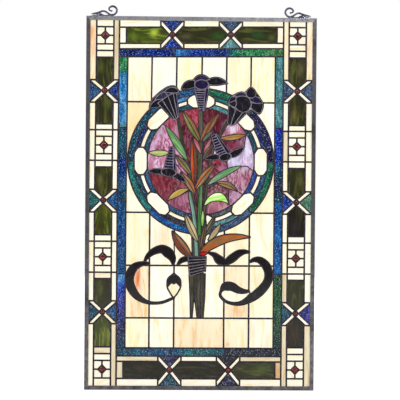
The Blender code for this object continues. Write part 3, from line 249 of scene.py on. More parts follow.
def build_layout(step=3.0):
    """All the pieces, in the order in which later ones lie over earlier ones."""
    P = []
    add = lambda *a, **k: P.append(Piece(*a, **k))

    # ---- columns
    for side, line, sign in (("left", left, 1), ("right", right, -1)):
        up = 1.0 if sign > 0 else -1.6        # the rows of one column sit a little lower than the other's
        dn = -0.9 if sign > 0 else 1.2

        def quad(i, j, y0, y1, line=line):
            return [(line(i, y0), y0), (line(j, y0), y0), (line(j, y1), y1), (line(i, y1), y1)]

        ct = [y + up for y in CORNER_T]
        cb = list(CORNER_B)
        m1, m2 = list(MID_1), [y + (-0.7 if sign > 0 else 0.7) for y in MID_2]
        cr = [(CROSS_Y[0][0] + up, CROSS_Y[0][1] + up), (CROSS_Y[1][0] + dn, CROSS_Y[1][1] + dn), (CROSS_Y[2][0] + dn, CROSS_Y[2][1] + dn)]
        runs = ((REACH, cr[0][0]), (cr[0][1], m1[1]), (m1[1], m1[4]), (m1[4], cr[1][0]),
                (cr[1][1], m2[1]), (m2[1], m2[4]), (m2[4], cr[2][0]), (cr[2][1], H - REACH))
        for k, (y0, y1) in enumerate(runs):
            add(f"{side}_outer_strip_{k + 1}", "cream", quad(-1, 0, y0, y1), grain=90)
            add(f"{side}_inner_strip_{k + 1}", "cream", quad(1, 2, y0, y1), grain=90)
        # corner and middle blocks
        blocks = [(REACH, ct[0], None), (ct[0], ct[1], "gem"), (ct[1], ct[2], None), (ct[2], ct[3], None),
                  (m1[0], m1[1], None), (m1[1], m1[2], None), (m1[2], m1[3], "gem"), (m1[3], m1[4], None), (m1[4], m1[5], None),
                  (m2[0], m2[1], None), (m2[1], m2[2], None), (m2[2], m2[3], "gem"), (m2[3], m2[4], None), (m2[4], m2[5], None),
                  (cb[3], cb[2], None), (cb[2], cb[1], None), (cb[1], cb[0], "gem"), (cb[0], H - REACH, None)]
        gems = []
        for k, (y0, y1, what) in enumerate(blocks):
            if what is None:
                add(f"{side}_block_strip_{k + 1}", "cream", quad(0, 1, y0, y1), grain=0)
                continue
            ym = (y0 + y1) / 2
            xm = (line(0, ym) + line(1, ym)) / 2
            xa, xb = line(0, ym), line(1, ym)
            for q, (x0, x1, ya, yb) in enumerate(((xa, xm, y0, ym), (xm, xb, y0, ym), (xa, xm, ym, y1), (xm, xb, ym, y1))):
                add(f"{side}_square_{k + 1}_{q + 1}", "cream", [(x0, ya), (x1, ya), (x1, yb), (x0, yb)], PALE[0], CREAM[0], grain=20 * q)
            gems.append((f"{side}_square_gem_{len(gems) + 1}", (xm, ym)))
        # crossings between the blocks, with pointed green panes above and below
        ends = (ct[3], m1[0], m1[5], m2[0], m2[5], cb[3])
        for k, (y0, y1) in enumerate(cr):
            cy = (y0 + y1) / 2 - 1.0
            cx = (line(0, cy) + line(1, cy)) / 2
            for half, (ya, yb) in enumerate(((ends[2 * k], y0), (y1, ends[2 * k + 1]))):
                shoulder = y0 + 3.5 if half == 0 else y1 - 3.5
                far = ya if half == 0 else yb
                out = [(line(0, far), far), (line(1, far), far), (line(1, shoulder), shoulder), (cx, cy), (line(0, shoulder), shoulder)]
                add(f"green_{side}_{2 * k + half + 1}", "moss", out, grain=90)
            edge = REACH if sign > 0 else W - REACH
            inner = line(2, cy)
            xo = RAIL if sign > 0 else W - RAIL
            add(f"{side}_cross_{k + 1}_outer", "ripple", [(edge, y0), (cx, cy), (edge, y1)])
            add(f"{side}_cross_{k + 1}_inner", "ripple", [(inner, y0), (cx, cy), (inner, y1)])
            for q, corner in enumerate(((xo, y0), (inner, y0), (inner, y1), (xo, y1))):
                # each arm starts a little in from the corner of the crossing
                sx = 5.0 if corner[0] < cx else -5.0
                arm = bar((corner[0] + sx - (cx - corner[0]) * 0.25, corner[1] - (cy - corner[1]) * 0.25), (cx, cy), ARM_W)
                arm = keep_side(arm, 0, y0, 0, 1)
                arm = keep_side(arm, 0, y1, 0, -1)
                arm = keep_side(arm, min(edge, inner), 0, 1, 0)
                arm = keep_side(arm, max(edge, inner), 0, -1, 0)
                add(f"{side}_cross_{k + 1}_arm_{q + 1}", "cream", arm, PALE[0], PALE[1], grain=45)
            gems.append((f"{side}_round_gem_{k + 1}", (cx, cy)))
        for name, (gx, gy) in gems:
            if "square" in name:
                add(name, "gem", [(gx, gy - GEM), (gx + GEM, gy), (gx, gy + GEM), (gx - GEM, gy)])
            else:
                add(name, "gem", circle(gx, gy, ROUND_GEM, 14))

    # ---- top and bottom rows
    xl, xr = (lambda y: left(2, y)), (lambda y: right(2, y))
    for side, rows, sign in (("top", TOP, 1), ("bottom", BOT, -1)):
        t = tilt if side == "top" else (lambda x: 0.0)
        edge = REACH if side == "top" else H - REACH

        def row(i, x, rows=rows, t=t, edge=edge):
            return edge if i < 0 else rows[i] + t(x)

        cross = CROSS_TX if side == "top" else CROSS_BX
        ym = (rows[0] + rows[1]) / 2
        x0, x1 = xl(ym), xr(ym)
        spans = ((x0, cross[0][0]), (cross[0][1], cross[1][0]), (cross[1][1], x1))
        for k, (a, b) in enumerate(spans):
            for name, i, j in (("outer", -1, 0), ("inner", 1, 2)):
                add(f"{side}_{name}_strip_{k + 1}", "cream", [(a, row(i, a)), (b, row(i, b)), (b, row(j, b)), (a, row(j, a))], grain=0)
        end_l, end_r = (91.4, 436.2) if side == "top" else (88.8, 437.2)
        add(f"{side}_end_piece_1", "cream", [(x0, row(0, x0)), (end_l, row(0, end_l)), (end_l, row(1, end_l)), (x0, row(1, x0))], grain=90)
        add(f"{side}_end_piece_2", "cream", [(end_r, row(0, end_r)), (x1, row(0, x1)), (x1, row(1, x1)), (end_r, row(1, end_r))], grain=90)
        centres = []
        for a, b in cross:
            cx = (a + b) / 2
            centres.append((cx, (row(0, cx) + row(1, cx)) / 2 - (1.0 if side == "top" else 0.0)))
        sh = 3.5
        a0, a1 = cross[0]
        b0, b1 = cross[1]
        greens = ([(end_l, row(0, end_l)), (a0 + sh, row(0, a0)), centres[0], (a0 + sh, row(1, a0)), (end_l, row(1, end_l))],
                  [centres[0], (a1 - sh, row(0, a1)), (b0 + sh, row(0, b0)), centres[1], (b0 + sh, row(1, b0)), (a1 - sh, row(1, a1))],
                  [centres[1], (b1 - sh, row(0, b1)), (end_r, row(0, end_r)), (end_r, row(1, end_r)), (b1 - sh, row(1, b1))])
        for k, g in enumerate(greens):
            add(f"green_{side}_{k + 1}", "moss", g, grain=0)
        vis = RAIL if side == "top" else H - RAIL
        for k, ((a, b), (cx, cy)) in enumerate(zip(cross, centres)):
            far = lambda x: row(2, x)
            add(f"{side}_cross_{k + 1}_outer", "ripple", [(a, edge), (b, edge), (cx, cy)])
            add(f"{side}_cross_{k + 1}_inner", "ripple", [(a, far(a)), (b, far(b)), (cx, cy)])
            for q, corner in enumerate(((a, vis), (b, vis), (b, far(b)), (a, far(a)))):
                sy = 4.5 if corner[1] < cy else -4.5
                arm = bar((corner[0] - (cx - corner[0]) * 0.25, corner[1] + sy - (cy - corner[1]) * 0.25), (cx, cy), ARM_W)
                arm = keep_side(arm, a, 0, 1, 0)
                arm = keep_side(arm, b, 0, -1, 0)
                lo, hi = sorted((edge, far(corner[0])))
                arm = keep_side(arm, 0, lo, 0, 1)
                arm = keep_side(arm, 0, hi, 0, -1)
                add(f"{side}_cross_{k + 1}_arm_{q + 1}", "cream", arm, PALE[0], PALE[1], grain=45)
            add(f"{side}_round_gem_{k + 1}", "gem", circle(cx, cy, ROUND_GEM, 14))

    # ---- textured bands round the field
    def band_y(side, i, x):
        return (TOP[2 + i] + tilt(x)) if side == "top" else BOT[2 + i]

    for side, cuts in (("top", (202.8, 326.4)), ("bottom", (198.6, 323.0))):
        y = (TOP[2] + TOP[3]) / 2 if side == "top" else (BOT[2] + BOT[3]) / 2
        xs = (xl(y),) + cuts + (xr(y),)
        for k in range(3):
            a, b = xs[k], xs[k + 1]
            add(f"band_{side}_{k + 1}", "ripple", [(a, band_y(side, 0, a)), (b, band_y(side, 0, b)), (b, band_y(side, 1, b)), (a, band_y(side, 1, a))])
    for side, line in (("left", left), ("right", right)):
        ys = [None] + list(BAND_JOINTS) + [None]
        for k in range(4):
            def corner(i, y):
                x = line(i, y if y is not None else (100.0 if k == 0 else 750.0))
                if y is None:
                    y = band_y("top", 1, x) if k == 0 else BOT[3]
                return (x, y)
            dy = 0.0 if side == "left" else -1.0
            y0 = ys[k] if ys[k] is None else ys[k] + dy
            y1 = ys[k + 1] if ys[k + 1] is None else ys[k + 1] + dy
            n = 4
            if y0 is None or y1 is None:
                out = [corner(2, y0), corner(3, y0), corner(3, y1), corner(2, y1)]
            else:
                out = [corner(2, y0), corner(3, y0), corner(3, y1), corner(2, y1)]
            add(f"band_{side}_{k + 1}", "ripple", out)

    # ---- field of cream panes
    def vx(j, y):
        if j < 0:
            return left(3, y)
        if j >= len(FIELD_X):
            return right(3, y)
        a, b = FIELD_X[j]
        return a + (b - a) * clamp((y - 100.0) / 350.0, 0.0, 1.0)

    def hy(i, x):
        if i < 0:
            return TOP[3] + tilt(x)
        if i >= len(FIELD_Y):
            return BOT[3]
        return FIELD_Y[i]

    for i in range(6):
        for j in range(6):
            if i == 5 and j == 3:
                continue
            j1 = j + 1 if (i == 5 and j == 2) else j
            ya, yb = hy(i - 1, 0), hy(i, 0)
            xa, xb = vx(j - 1, ya), vx(j1, ya)
            xc, xd = vx(j1, yb), vx(j - 1, yb)
            out = [(xa, hy(i - 1, xa)), (xb, hy(i - 1, xb)), (xc, hy(i, xc)), (xd, hy(i, xd))]
            add(f"field_{i + 1}_{j + 1}", "cream", out, grain=90)

    # ---- ring medallion
    joints = (0.0, 45.0, 90.0, 135.0, 180.0, 225.0, 270.0, 315.0, 360.0)
    for k in range(8):
        add(f"ring_band_{k + 1}", "ripple", sector(RING_R[1], RING_R[0], joints[k], joints[k + 1], step))
        add(f"ring_inner_strip_{k + 1}", "deep", sector(RING_R[2], STRIP_R[0], joints[k], joints[k + 1], step))
        add(f"ring_cream_strip_{k + 1}", "cream", sector(STRIP_R[0], STRIP_R[1], joints[k], joints[k + 1], step), PALE[0], PALE[1])
        add(f"ring_outer_strip_{k + 1}", "deep", sector(STRIP_R[1], RING_R[1], joints[k], joints[k + 1], step))
    # streaky glass inside the ring: each cut runs from the neck of the bunch, under a stem or a leaf,
    # out of its tip and on to the ring at the angle given last
    neck = (262.0, 452.0)
    cuts = (
        ((262, 214), 270.0), ((264, 300), (285, 250), (306, 221), 291.5), ((276, 400), (293, 300), (322, 241), 305.0),
        ((270, 400), (290, 310), (312, 276), (368, 268), 329.0), ((275, 400), (282, 380), (320, 352), (357, 340), (371, 341), 370.0),
        ((285, 385), (302, 378), (325, 378), (348, 398), 398.0), ((272, 430), (300, 410), (328, 426), 416.0), (438.0,), (456.0,),
        ((240, 397), (189, 421), 490.0), ((250, 395), (225, 368), (190, 362), (144, 354), 529.0),
        ((250, 390), (205, 335), (188, 311), (143, 311), 549.5), ((255, 380), (230, 325), (181, 249), 584.3),
        ((238, 390), (224, 310), (212, 232), 600.5), ((259, 330), (255, 290), (219, 214), 608.5), ((262, 214), 630.0))
    shades = (
        ((80, 32, 42), (106, 54, 66)), ((58, 18, 28), (98, 54, 74)), ((158, 82, 104), (216, 180, 208)),
        ((182, 158, 190), (226, 210, 234)), ((122, 72, 92), (200, 162, 180)), ((138, 100, 122), (186, 152, 174)),
        ((134, 78, 96), (178, 126, 140)), ((134, 78, 96), (178, 126, 140)), ((120, 62, 82), (168, 118, 140)),
        ((90, 36, 44), (142, 84, 94)), ((174, 118, 146), (222, 194, 216)), ((146, 74, 102), (210, 166, 194)),
        ((128, 50, 70), (182, 110, 136)), ((80, 30, 40), (124, 74, 90)), ((130, 42, 56), (168, 86, 100)))
    for k, (one, two) in enumerate(zip(cuts, cuts[1:])):
        d0, d1 = one[-1], two[-1]
        n = max(2, int(math.radians(d1 - d0) * RING_R[2] / step))
        arc = [ring_at(RING_R[2], d0 + (d1 - d0) * i / n) for i in range(n + 1)]
        add(f"shard_{k + 1}", "lilac", [neck] + list(one[:-1]) + arc + list(two[:-1])[::-1], *shades[k], grain=90)
    add("shard_16", "lilac", [(300, 280), (367, 269), (362, 300), (322, 322)], (86, 38, 52), (140, 90, 110), grain=90)
    add("shard_17", "lilac", [(268, 306), (300, 318), (323, 325), (326, 352), (284, 380), (268, 350)], (88, 34, 46), (152, 106, 124), grain=60)
    add("shard_18", "lilac", [(280, 392), (302, 380), (328, 384), (328, 428), (300, 412), (272, 432)], (92, 58, 66), (156, 114, 124), grain=90)
    for k in range(8):
        c = ring_at((RING_R[1] + RING_R[2]) / 2, 45.0 * k)
        a = math.radians(45.0 * k)
        half, w = LOZ_L, (RING_R[1] - RING_R[2]) / 2
        cl, cw = LOZ_CUT
        loc = [(w, -half + cl), (w, half - cl), (w - cw * 0.55, half - cl * 0.35), (w - cw, half), (-w + cw, half), (-w + cw * 0.55, half - cl * 0.35),
               (-w, half - cl), (-w, -half + cl), (-w + cw * 0.55, -half + cl * 0.35), (-w + cw, -half), (w - cw, -half), (w - cw * 0.55, -half + cl * 0.35)]
        add(f"lozenge_{k + 1}", "cream", [(c[0] + u * math.cos(a) - v * math.sin(a), c[1] + u * math.sin(a) + v * math.cos(a)) for u, v in loc],
            PALE[0], CREAM[0], grain=45.0 * k + 90)

    # ---- ribbons of the bow, black glass
    def rib(name, pts):
        add(name, "black", ribbon(pts, step))

    # cream glass inside the small loops first, so that their rims are drawn by solder
    add("loop_left", "cream", ribbon([(204, 588, 2), (204, 600, 26), (204, 617, 31), (204, 630, 20), (203.5, 644, 1)], step), CREAM[0], CREAM[1])
    add("loop_right", "cream", ribbon([(309.5, 636, 8), (322, 637, 29), (340, 639, 33), (358, 638, 24), (378, 630, 6)], step), PALE[0], CREAM[0])
    rib("ribbon_1", [(136, 561, 2), (144, 548, 8), (158, 537, 13), (176, 532, 17), (190, 540, 21), (200, 553, 14), (202, 567, 3)])
    rib("ribbon_2", [(148, 565, 3), (130, 566, 9), (113, 574, 15), (103, 592, 18), (103, 612, 18), (114, 634, 15), (132, 649, 9), (152, 655.5, 4.6),
                     (176, 654.5, 3.6), (196, 647, 3.4), (204, 643, 2.2)])
    rib("ribbon_3", [(190, 616, 2), (195, 604, 13), (204, 601, 20), (213, 604, 13), (219, 616, 2)])
    rib("ribbon_4", [(284, 540, 3), (297, 545, 10), (308, 556, 18), (322, 561, 12), (336, 553, 17), (352, 541, 14), (366, 537, 8), (377, 538, 3)])
    rib("ribbon_5", [(378, 560, 3), (388, 555, 8), (401, 556, 13), (414, 567, 17), (421, 583, 17), (420, 602, 17), (409, 620, 18), (392, 636, 18),
                     (374, 648, 13), (354, 656, 7), (334, 655, 4.2), (319, 648, 3.6), (310.5, 637, 3.2), (312, 627, 2.4)])
    rib("ribbon_6", [(312, 626, 3), (322, 617, 17), (337, 617, 17), (352, 625, 13), (366, 628, 8), (377, 627, 3)])
    rib("ribbon_7", [(212, 568, 2), (221, 558, 9), (231, 554, 10), (240, 553, 6)])

    # ---- bunch: stems, leaves and bells
    def stem(name, pts, a, b):
        add(name, "leaf", ribbon(pts, step), a, b, soft="along")

    stem("stem_left", [(250, 548, 8), (248, 470, 9), (243, 395, 8), (226, 312, 7), (216.5, 262, 7.5), (211, 233, 6)], (58, 58, 42), (84, 78, 62))
    stem("stem_right", [(268, 548, 8), (271, 470, 8), (277, 385, 7), (291, 305, 6), (311, 264, 6), (324, 240, 6)], (62, 58, 48), (88, 80, 70))
    stem("stem_centre", [(260, 548, 9), (260.5, 470, 9), (261.5, 380, 11), (262, 300, 10), (263, 213, 9)], (66, 68, 54), (92, 90, 78))
    stem("stalk_blue", [(255.5, 548, 9), (253, 505, 9), (248.5, 455, 8.5), (242, 420, 8), (238, 400, 5)], (124, 156, 142), (98, 126, 110))
    stem("stalk_green", [(261, 500, 8), (262, 450, 9.5), (263.5, 410, 9), (265, 384, 6)], (54, 98, 50), (96, 122, 88))

    G = {"green": ((86, 118, 80), (130, 162, 118)), "pale_green": ((96, 104, 62), (136, 132, 90)), "teal": ((94, 130, 96), (138, 162, 132)),
         "grey_green": ((74, 92, 78), (106, 106, 92)), "fresh": ((144, 168, 96), (186, 188, 140)), "lime": ((150, 212, 96), (216, 238, 186)),
         "bud": ((106, 160, 70), (152, 182, 118)), "moss": ((92, 92, 64), (122, 116, 90)), "sage": ((116, 104, 74), (146, 132, 100)),
         "gold": ((126, 98, 58), (156, 130, 90)), "straw": ((164, 140, 72), (186, 166, 114)), "rust": ((156, 66, 42), (164, 100, 66)),
         "umber": ((108, 58, 46), (98, 84, 64)), "copper": ((152, 98, 62), (140, 118, 88)), "bronze": ((104, 70, 54), (136, 108, 82)),
         "tan": ((120, 100, 76), (148, 126, 102)), "pink": ((144, 82, 94), (168, 128, 126)), "sand": ((170, 158, 122), (192, 182, 150)),
         "clay": ((152, 140, 108), (176, 164, 136)), "ember": ((156, 80, 40), (128, 100, 68)), "red": ((160, 34, 26), (120, 36, 30)),
         "dark": ((62, 64, 56), (92, 90, 80)), "khaki": ((78, 72, 48), (112, 98, 66))}
    leaves = (
        # base, tip, width, bend, glass, glass beyond the midrib
        ((231, 326), (181, 249), 17, 0.03, "green", None), ((261, 285), (219, 213), 18, 0.03, "bronze", "pale_green"),
        ((263, 285), (308, 219), 16, -0.10, "bronze", None), ((268, 284), (291, 261), 9, -0.08, "grey_green", None),
        ((190, 311), (143, 311), 14, -0.05, "fresh", None), ((242, 362), (203, 314), 14, 0.06, "moss", "sage"),
        ((263, 312), (245, 274), 10, 0.06, "pink", None), ((270, 316), (288, 277), 10, -0.05, "pink", None),
        ((268, 330), (294, 290), 11, -0.10, "umber", "grey_green"), ((309, 277), (370, 268), 13, 0.05, "gold", None),
        ((248, 382), (243, 275), 16, 0.04, "umber", "rust"), ((250, 404), (217, 355), 16, 0.08, "copper", "tan"),
        ((235, 394), (188, 421), 14, 0.14, "straw", None), ((252, 394), (299, 335), 17, -0.08, "tan", "copper"),
        ((281, 383), (358, 340), 15, -0.10, "teal", None), ((301, 380), (349, 399), 14, -0.20, "copper", "sage"),
        ((268.5, 479), (269.5, 440), 8, 0.0, "bud", None),
        ((258, 513), (228, 449), 17, -0.03, "sand", "clay"), ((272, 502), (297, 455), 12, 0.05, "dark", "moss"),
        ((283, 511), (310, 472), 12, 0.06, "clay", None), ((264, 534), (276, 466), 10, 0.03, "khaki", "khaki"),
        ((243, 550), (199, 490), 21, -0.07, "bronze", "umber"), ((262, 542), (281, 540), 9, 0.0, "red", None),
    )
    add("leaf_crescent", "leaf", rounded([(271, 433), (271, 433), (276, 420), (285, 409), (298, 402), (311, 402.5), (321, 411), (329, 428), (329, 428),
                                          (317, 422.5), (303, 420.5), (288, 423), (278, 429)], step), *G["lime"], soft="across")
    add("leaf_sweep", "leaf", ribbon([(263, 546, 5), (272, 536, 13), (285, 524.5, 18), (303, 514, 20), (322, 507, 18), (342, 503.5, 14), (360, 502.5, 9), (378, 503.5, 1)], step),
        *G["ember"], soft="across")
    for k, (base, tip, w, bend, glass, other) in enumerate(leaves):
        butt = 0.28 if w > 9 else 0.5
        if other is None:
            add(f"leaf_{k + 1}", "leaf", leaf(base, tip, w, bend, step, butt=butt), *G[glass], soft="across")
        else:
            add(f"leaf_{k + 1}_a", "leaf", leaf(base, tip, w, bend, step, butt=butt, half=1), *G[glass], soft="across")
            add(f"leaf_{k + 1}_b", "leaf", leaf(base, tip, w, bend, step, butt=butt, half=-1), *G[other], soft="across")

    # lilies: a tapered throat, cut across into narrow slices or along into staves, with petals round its mouth
    def mix(p, q, t):
        return (p[0] + (q[0] - p[0]) * t, p[1] + (q[1] - p[1]) * t)

    def throat(name, mouth, foot, slices, plain):
        """plain is the share of the width at the far side that stays one uncut strip."""
        for s in range(slices):
            t0, t1 = s / slices, (s + 1) / slices
            a0, b0 = mix(mouth[0], foot[0], t0), mix(mouth[1], foot[1], t0)
            a1, b1 = mix(mouth[0], foot[0], t1), mix(mouth[1], foot[1], t1)
            add(f"{name}_throat_{s + 1}", "petal", [a0, mix(a0, b0, 1 - plain), mix(a1, b1, 1 - plain), a1])
        if plain:
            add(f"{name}_side", "petal", [mix(*mouth, 1 - plain), mouth[1], foot[1], mix(*foot, 1 - plain)])

    def staves(name, mouth, foot):
        for s in range(len(mouth) - 1):
            add(f"{name}_stave_{s + 1}", "petal", [mouth[s], mouth[s + 1], foot[s + 1], foot[s]])

    def petals(name, items):
        for s, (base, tip, w, bend, butt) in enumerate(items):
            add(f"{name}_petal_{s + 1}", "petal", leaf(base, tip, w, bend, step, butt=butt, belly=0.42))

    add("lily_1_ground", "petal", rounded([(146, 209), (150, 192), (167, 174), (186, 161), (200, 158.5), (209, 165), (211.5, 177), (199, 181), (184, 191), (165, 203)], step))
    petals("lily_1", (((181, 194), (145, 209), 17, 0.12, 0.6), ((205, 173), (157, 190), 16, 0.10, 0.5), ((211, 171), (179, 173), 13, 0.26, 0.4)))
    staves("lily_1", ((164, 198), (174, 190.5), (187, 181), (199, 174.5), (207, 175)), ((201, 237), (204, 236), (207, 234), (210, 231), (213, 228)))
    add("lily_2_ground", "petal", rounded([(238, 153), (245, 144), (262, 139), (280, 143), (291, 152), (264, 160)], step))
    petals("lily_2", (((252, 153), (218, 165), 19, 0.18, 0.7), ((276, 150), (323, 151), 18, -0.16, 0.5), ((247, 145), (282, 143), 15, -0.26, 0.3)))
    throat("lily_2", ((247, 162), (281.5, 162)), ((260, 215), (271.5, 215)), 10, 0.24)
    add("lily_2_cup", "petal", blob(264, 154.5, 16, 11, 0, n=26))
    add("lily_3_ground", "petal", rounded([(326, 196), (330, 184), (344, 175), (364, 171), (378, 160), (389, 172), (398, 184), (404, 197), (400, 218), (388, 217), (378, 211),
                                           (362, 219), (342, 213), (328, 205)], step))
    staves("lily_3", ((327, 200), (343, 210), (359, 217), (378, 208)), ((324, 244), (331, 246.5), (338, 246.5), (345, 242)))
    for k, pts in enumerate((((326, 194), (326, 194), (331, 184), (341, 180), (348, 183), (340, 192), (331, 197)),
                             ((336, 182), (336, 182), (345, 174), (358, 171), (368, 177), (366, 184), (351, 182.5)),
                             ((371, 185), (385, 180.5), (397, 185), (405, 196), (405, 196), (391, 196.5), (377, 192)),
                             ((377, 196), (392, 196.5), (405, 197), (403.5, 211), (397, 221), (397, 221), (385, 214), (378, 206)),
                             ((344, 184), (356, 180), (371, 183), (378, 197), (374, 210), (361, 217), (347, 212), (342, 205), (342, 205)),
                             ((327, 197), (334, 193), (342, 191), (344, 199), (341, 206), (341, 206), (333, 203)))):
        add(f"lily_3_petal_{k + 1}", "petal", rounded(pts, step))
    add("lily_3_bud", "petal", rounded([(377.5, 159), (377.5, 159), (385, 165), (389, 174), (385, 182), (377, 184.5), (369, 181), (366, 173), (370, 165)], step))
    throat("lily_4", ((177, 352), (208, 354)), ((193, 297), (201.5, 298)), 9, 0.22)
    petals("lily_4", (((182, 357), (142, 354), 13, 0.08, 0.5), ((199, 361), (230, 379), 14, -0.12, 0.5)))
    add("lily_4_cup", "petal", blob(190, 356, 17, 9.5, 5, n=26))
    throat("lily_5", ((303.5, 326), (334, 313)), ((286.5, 270), (299.5, 266.5)), 9, 0.26)
    petals("lily_5", (((325, 318), (364, 296), 15, 0.12, 0.5), ((311, 320), (271, 325), 13, 0.08, 0.5)))
    add("lily_5_cup", "petal", blob(319.5, 320, 14, 8.5, -14, n=26))

    # wrapped band and the ends of the stems below it
    tail = (((244.5, 588, 11), (245.5, 640, 8), (244.5, 688, 3.2)), ((253.5, 588, 10), (255, 630, 9), (259.5, 688, 3.2)),
            ((262, 588, 9), (261.5, 640, 8.5), (264, 676, 6), (259.5, 688, 3.4)), ((270.5, 588, 10), (270, 640, 9), (269, 690, 4.6)))
    for k, pts in enumerate(tail):
        add(f"tail_stem_{k + 1}", "leaf", ribbon(pts, step), (46, 46, 36), (78, 76, 64), soft="along")
    wraps = 6
    for k in range(wraps):
        t0, t1 = k / wraps, (k + 1) / wraps
        x0a, x1a = 235.5 + 4.5 * t0, 277.5 - 1.5 * t0
        x0b, x1b = 235.5 + 4.5 * t1, 277.5 - 1.5 * t1
        ya, yb = 549 + 40 * t0, 549 + 40 * t1
        add(f"wrap_{k + 1}", "black", [(x0a, ya + 5 * t0), (x1a, ya - 7 * t0), (x1b, yb - 7 * t1), (x0b, yb + 5 * t1)])
    return P


# ---------------------------------------------------------------- cutting
# The outlines overlap like paper cut-outs. The cutting below lays them into one
# flat map in which every spot belongs to the topmost outline, and reads the
# real pieces of glass off it.
EPS = 0.004


def simple(poly):
    """The outline itself, or the outlines of its parts where its line runs over itself."""
    n = len(poly)
    for i in range(n):
        a, b = poly[i - 1], poly[i]
        for j in range(i + 2, n):
            if (j + 1) % n == (i - 1) % n or (i == 0 and j == n - 1):
                continue
            c, d = poly[j - 1], poly[j]
            if j - 1 == i or max(c[0], d[0]) < min(a[0], b[0]) or max(a[0], b[0]) < min(c[0], d[0]):
                continue
            s1 = (b[0] - a[0]) * (c[1] - a[1]) - (b[1] - a[1]) * (c[0] - a[0])
            s2 = (b[0] - a[0]) * (d[1] - a[1]) - (b[1] - a[1]) * (d[0] - a[0])
            s3 = (d[0] - c[0]) * (a[1] - c[1]) - (d[1] - c[1]) * (a[0] - c[0])
            s4 = (d[0] - c[0]) * (b[1] - c[1]) - (d[1] - c[1]) * (b[0] - c[0])
            if s1 * s2 < 0 and s3 * s4 < 0:
                v, tris = inset([poly], 0.0)
                return [[v[q] for q in r] for g in islands(tris) for r in rim_of(g)[:1]]
    return [poly]


def cut_layout(pieces):
    """[(piece, part, loops)]: each connected patch of each piece, its loops as corner lists with the glass on the left."""
    verts, edges, faces, owner = [], [], [], []
    for k, p in enumerate(pieces):
        poly = [q for i, q in enumerate(p.outline) if math.dist(q, p.outline[i - 1]) > 0.02]
        area = sum(a[0] * b[1] - b[0] * a[1] for a, b in zip(poly, poly[1:] + poly[:1]))
        if area < 0:
            poly = poly[::-1]
        for poly in simple(poly):
            base = len(verts)
            verts += [Vector(q) for q in poly]
            faces.append(list(range(base, base + len(poly))))
            owner.append(k)
    v, e, f, ov, oe, of = geometry.delaunay_2d_cdt(verts, [], faces, 1, EPS, True)
    label = []
    for tri, src in zip(f, of):
        label.append(max(owner[s] for s in src) if src else -1)
    # connected patches
    by_edge = {}
    for t, tri in enumerate(f):
        for a, b in zip(tri, tri[1:] + tri[:1]):
            by_edge.setdefault((min(a, b), max(a, b)), []).append(t)
    patch = [-1] * len(f)
    count = 0
    for t in range(len(f)):
        if patch[t] >= 0 or label[t] < 0:
            continue
        stack, patch[t] = [t], count
        while stack:
            s = stack.pop()
            tri = f[s]
            for a, b in zip(tri, tri[1:] + tri[:1]):
                for o in by_edge[(min(a, b), max(a, b))]:
                    if patch[o] < 0 and label[o] == label[t]:
                        patch[o] = count
                        stack.append(o)
        count += 1
    loops_of = [{} for _ in range(count)]
    patch_label = [0] * count
    areas = [0.0] * count
    for t, tri in enumerate(f):
        if patch[t] < 0:
            continue
        patch_label[patch[t]] = label[t]
        a, b, c = (v[i] for i in tri[:3])
        areas[patch[t]] += abs((b.x - a.x) * (c.y - a.y) - (c.x - a.x) * (b.y - a.y)) / 2
        for a, b in zip(tri, tri[1:] + tri[:1]):
            other = [o for o in by_edge[(min(a, b), max(a, b))] if patch[o] != patch[t]]
            if other or len(by_edge[(min(a, b), max(a, b))]) == 1:
                loops_of[patch[t]].setdefault(a, []).append(b)
    out, seen = [], {}
    for n in range(count):
        nxt, loops = loops_of[n], []
        while nxt:
            start = next(iter(nxt))
            loop, at, came = [start], start, None
            while True:
                choices = nxt[at]
                if len(choices) == 1:
                    to = choices[0]
                else:
                    # at a corner where the patch touches itself, turn hardest to the left so that loops stay simple
                    d0 = v[at] - v[came] if came is not None else Vector((1, 0))
                    best = None
                    for c in choices:
                        d = v[c] - v[at]
                        ang = math.atan2(d0.x * d.y - d0.y * d.x, d0.dot(d))
                        if best is None or ang > best[0]:
                            best = (ang, c)
                    to = best[1]
                choices.remove(to)
                if not choices:
                    del nxt[at]
                came, at = at, to
                if at == start:
                    break
                loop.append(at)
            loops.append(loop)
        p = patch_label[n]
        seen[p] = seen.get(p, 0) + 1
        out.append((pieces[p], seen[p], [[(v[i].x, v[i].y) for i in lp] for lp in loops], areas[n], [list(lp) for lp in loops]))
    return out, v


def tidy(loop, tol):
    """Drops corners that lie within tol of the straight line between their neighbours."""
    pts = list(loop)
    changed = True
    while changed and len(pts) > 4:
        changed = False
        i = 0
        while i < len(pts) and len(pts) > 4:
            a, b, c = pts[i - 1], pts[i], pts[(i + 1) % len(pts)]
            dx, dy = c[0] - a[0], c[1] - a[1]
            n = math.hypot(dx, dy)
            d = abs((b[0] - a[0]) * dy - (b[1] - a[1]) * dx) / n if n > 1e-9 else 0.0
            if d < tol and (b[0] - a[0]) * dx + (b[1] - a[1]) * dy > 0:
                pts.pop(i)
                changed = True
            else:
                i += 1
    return pts


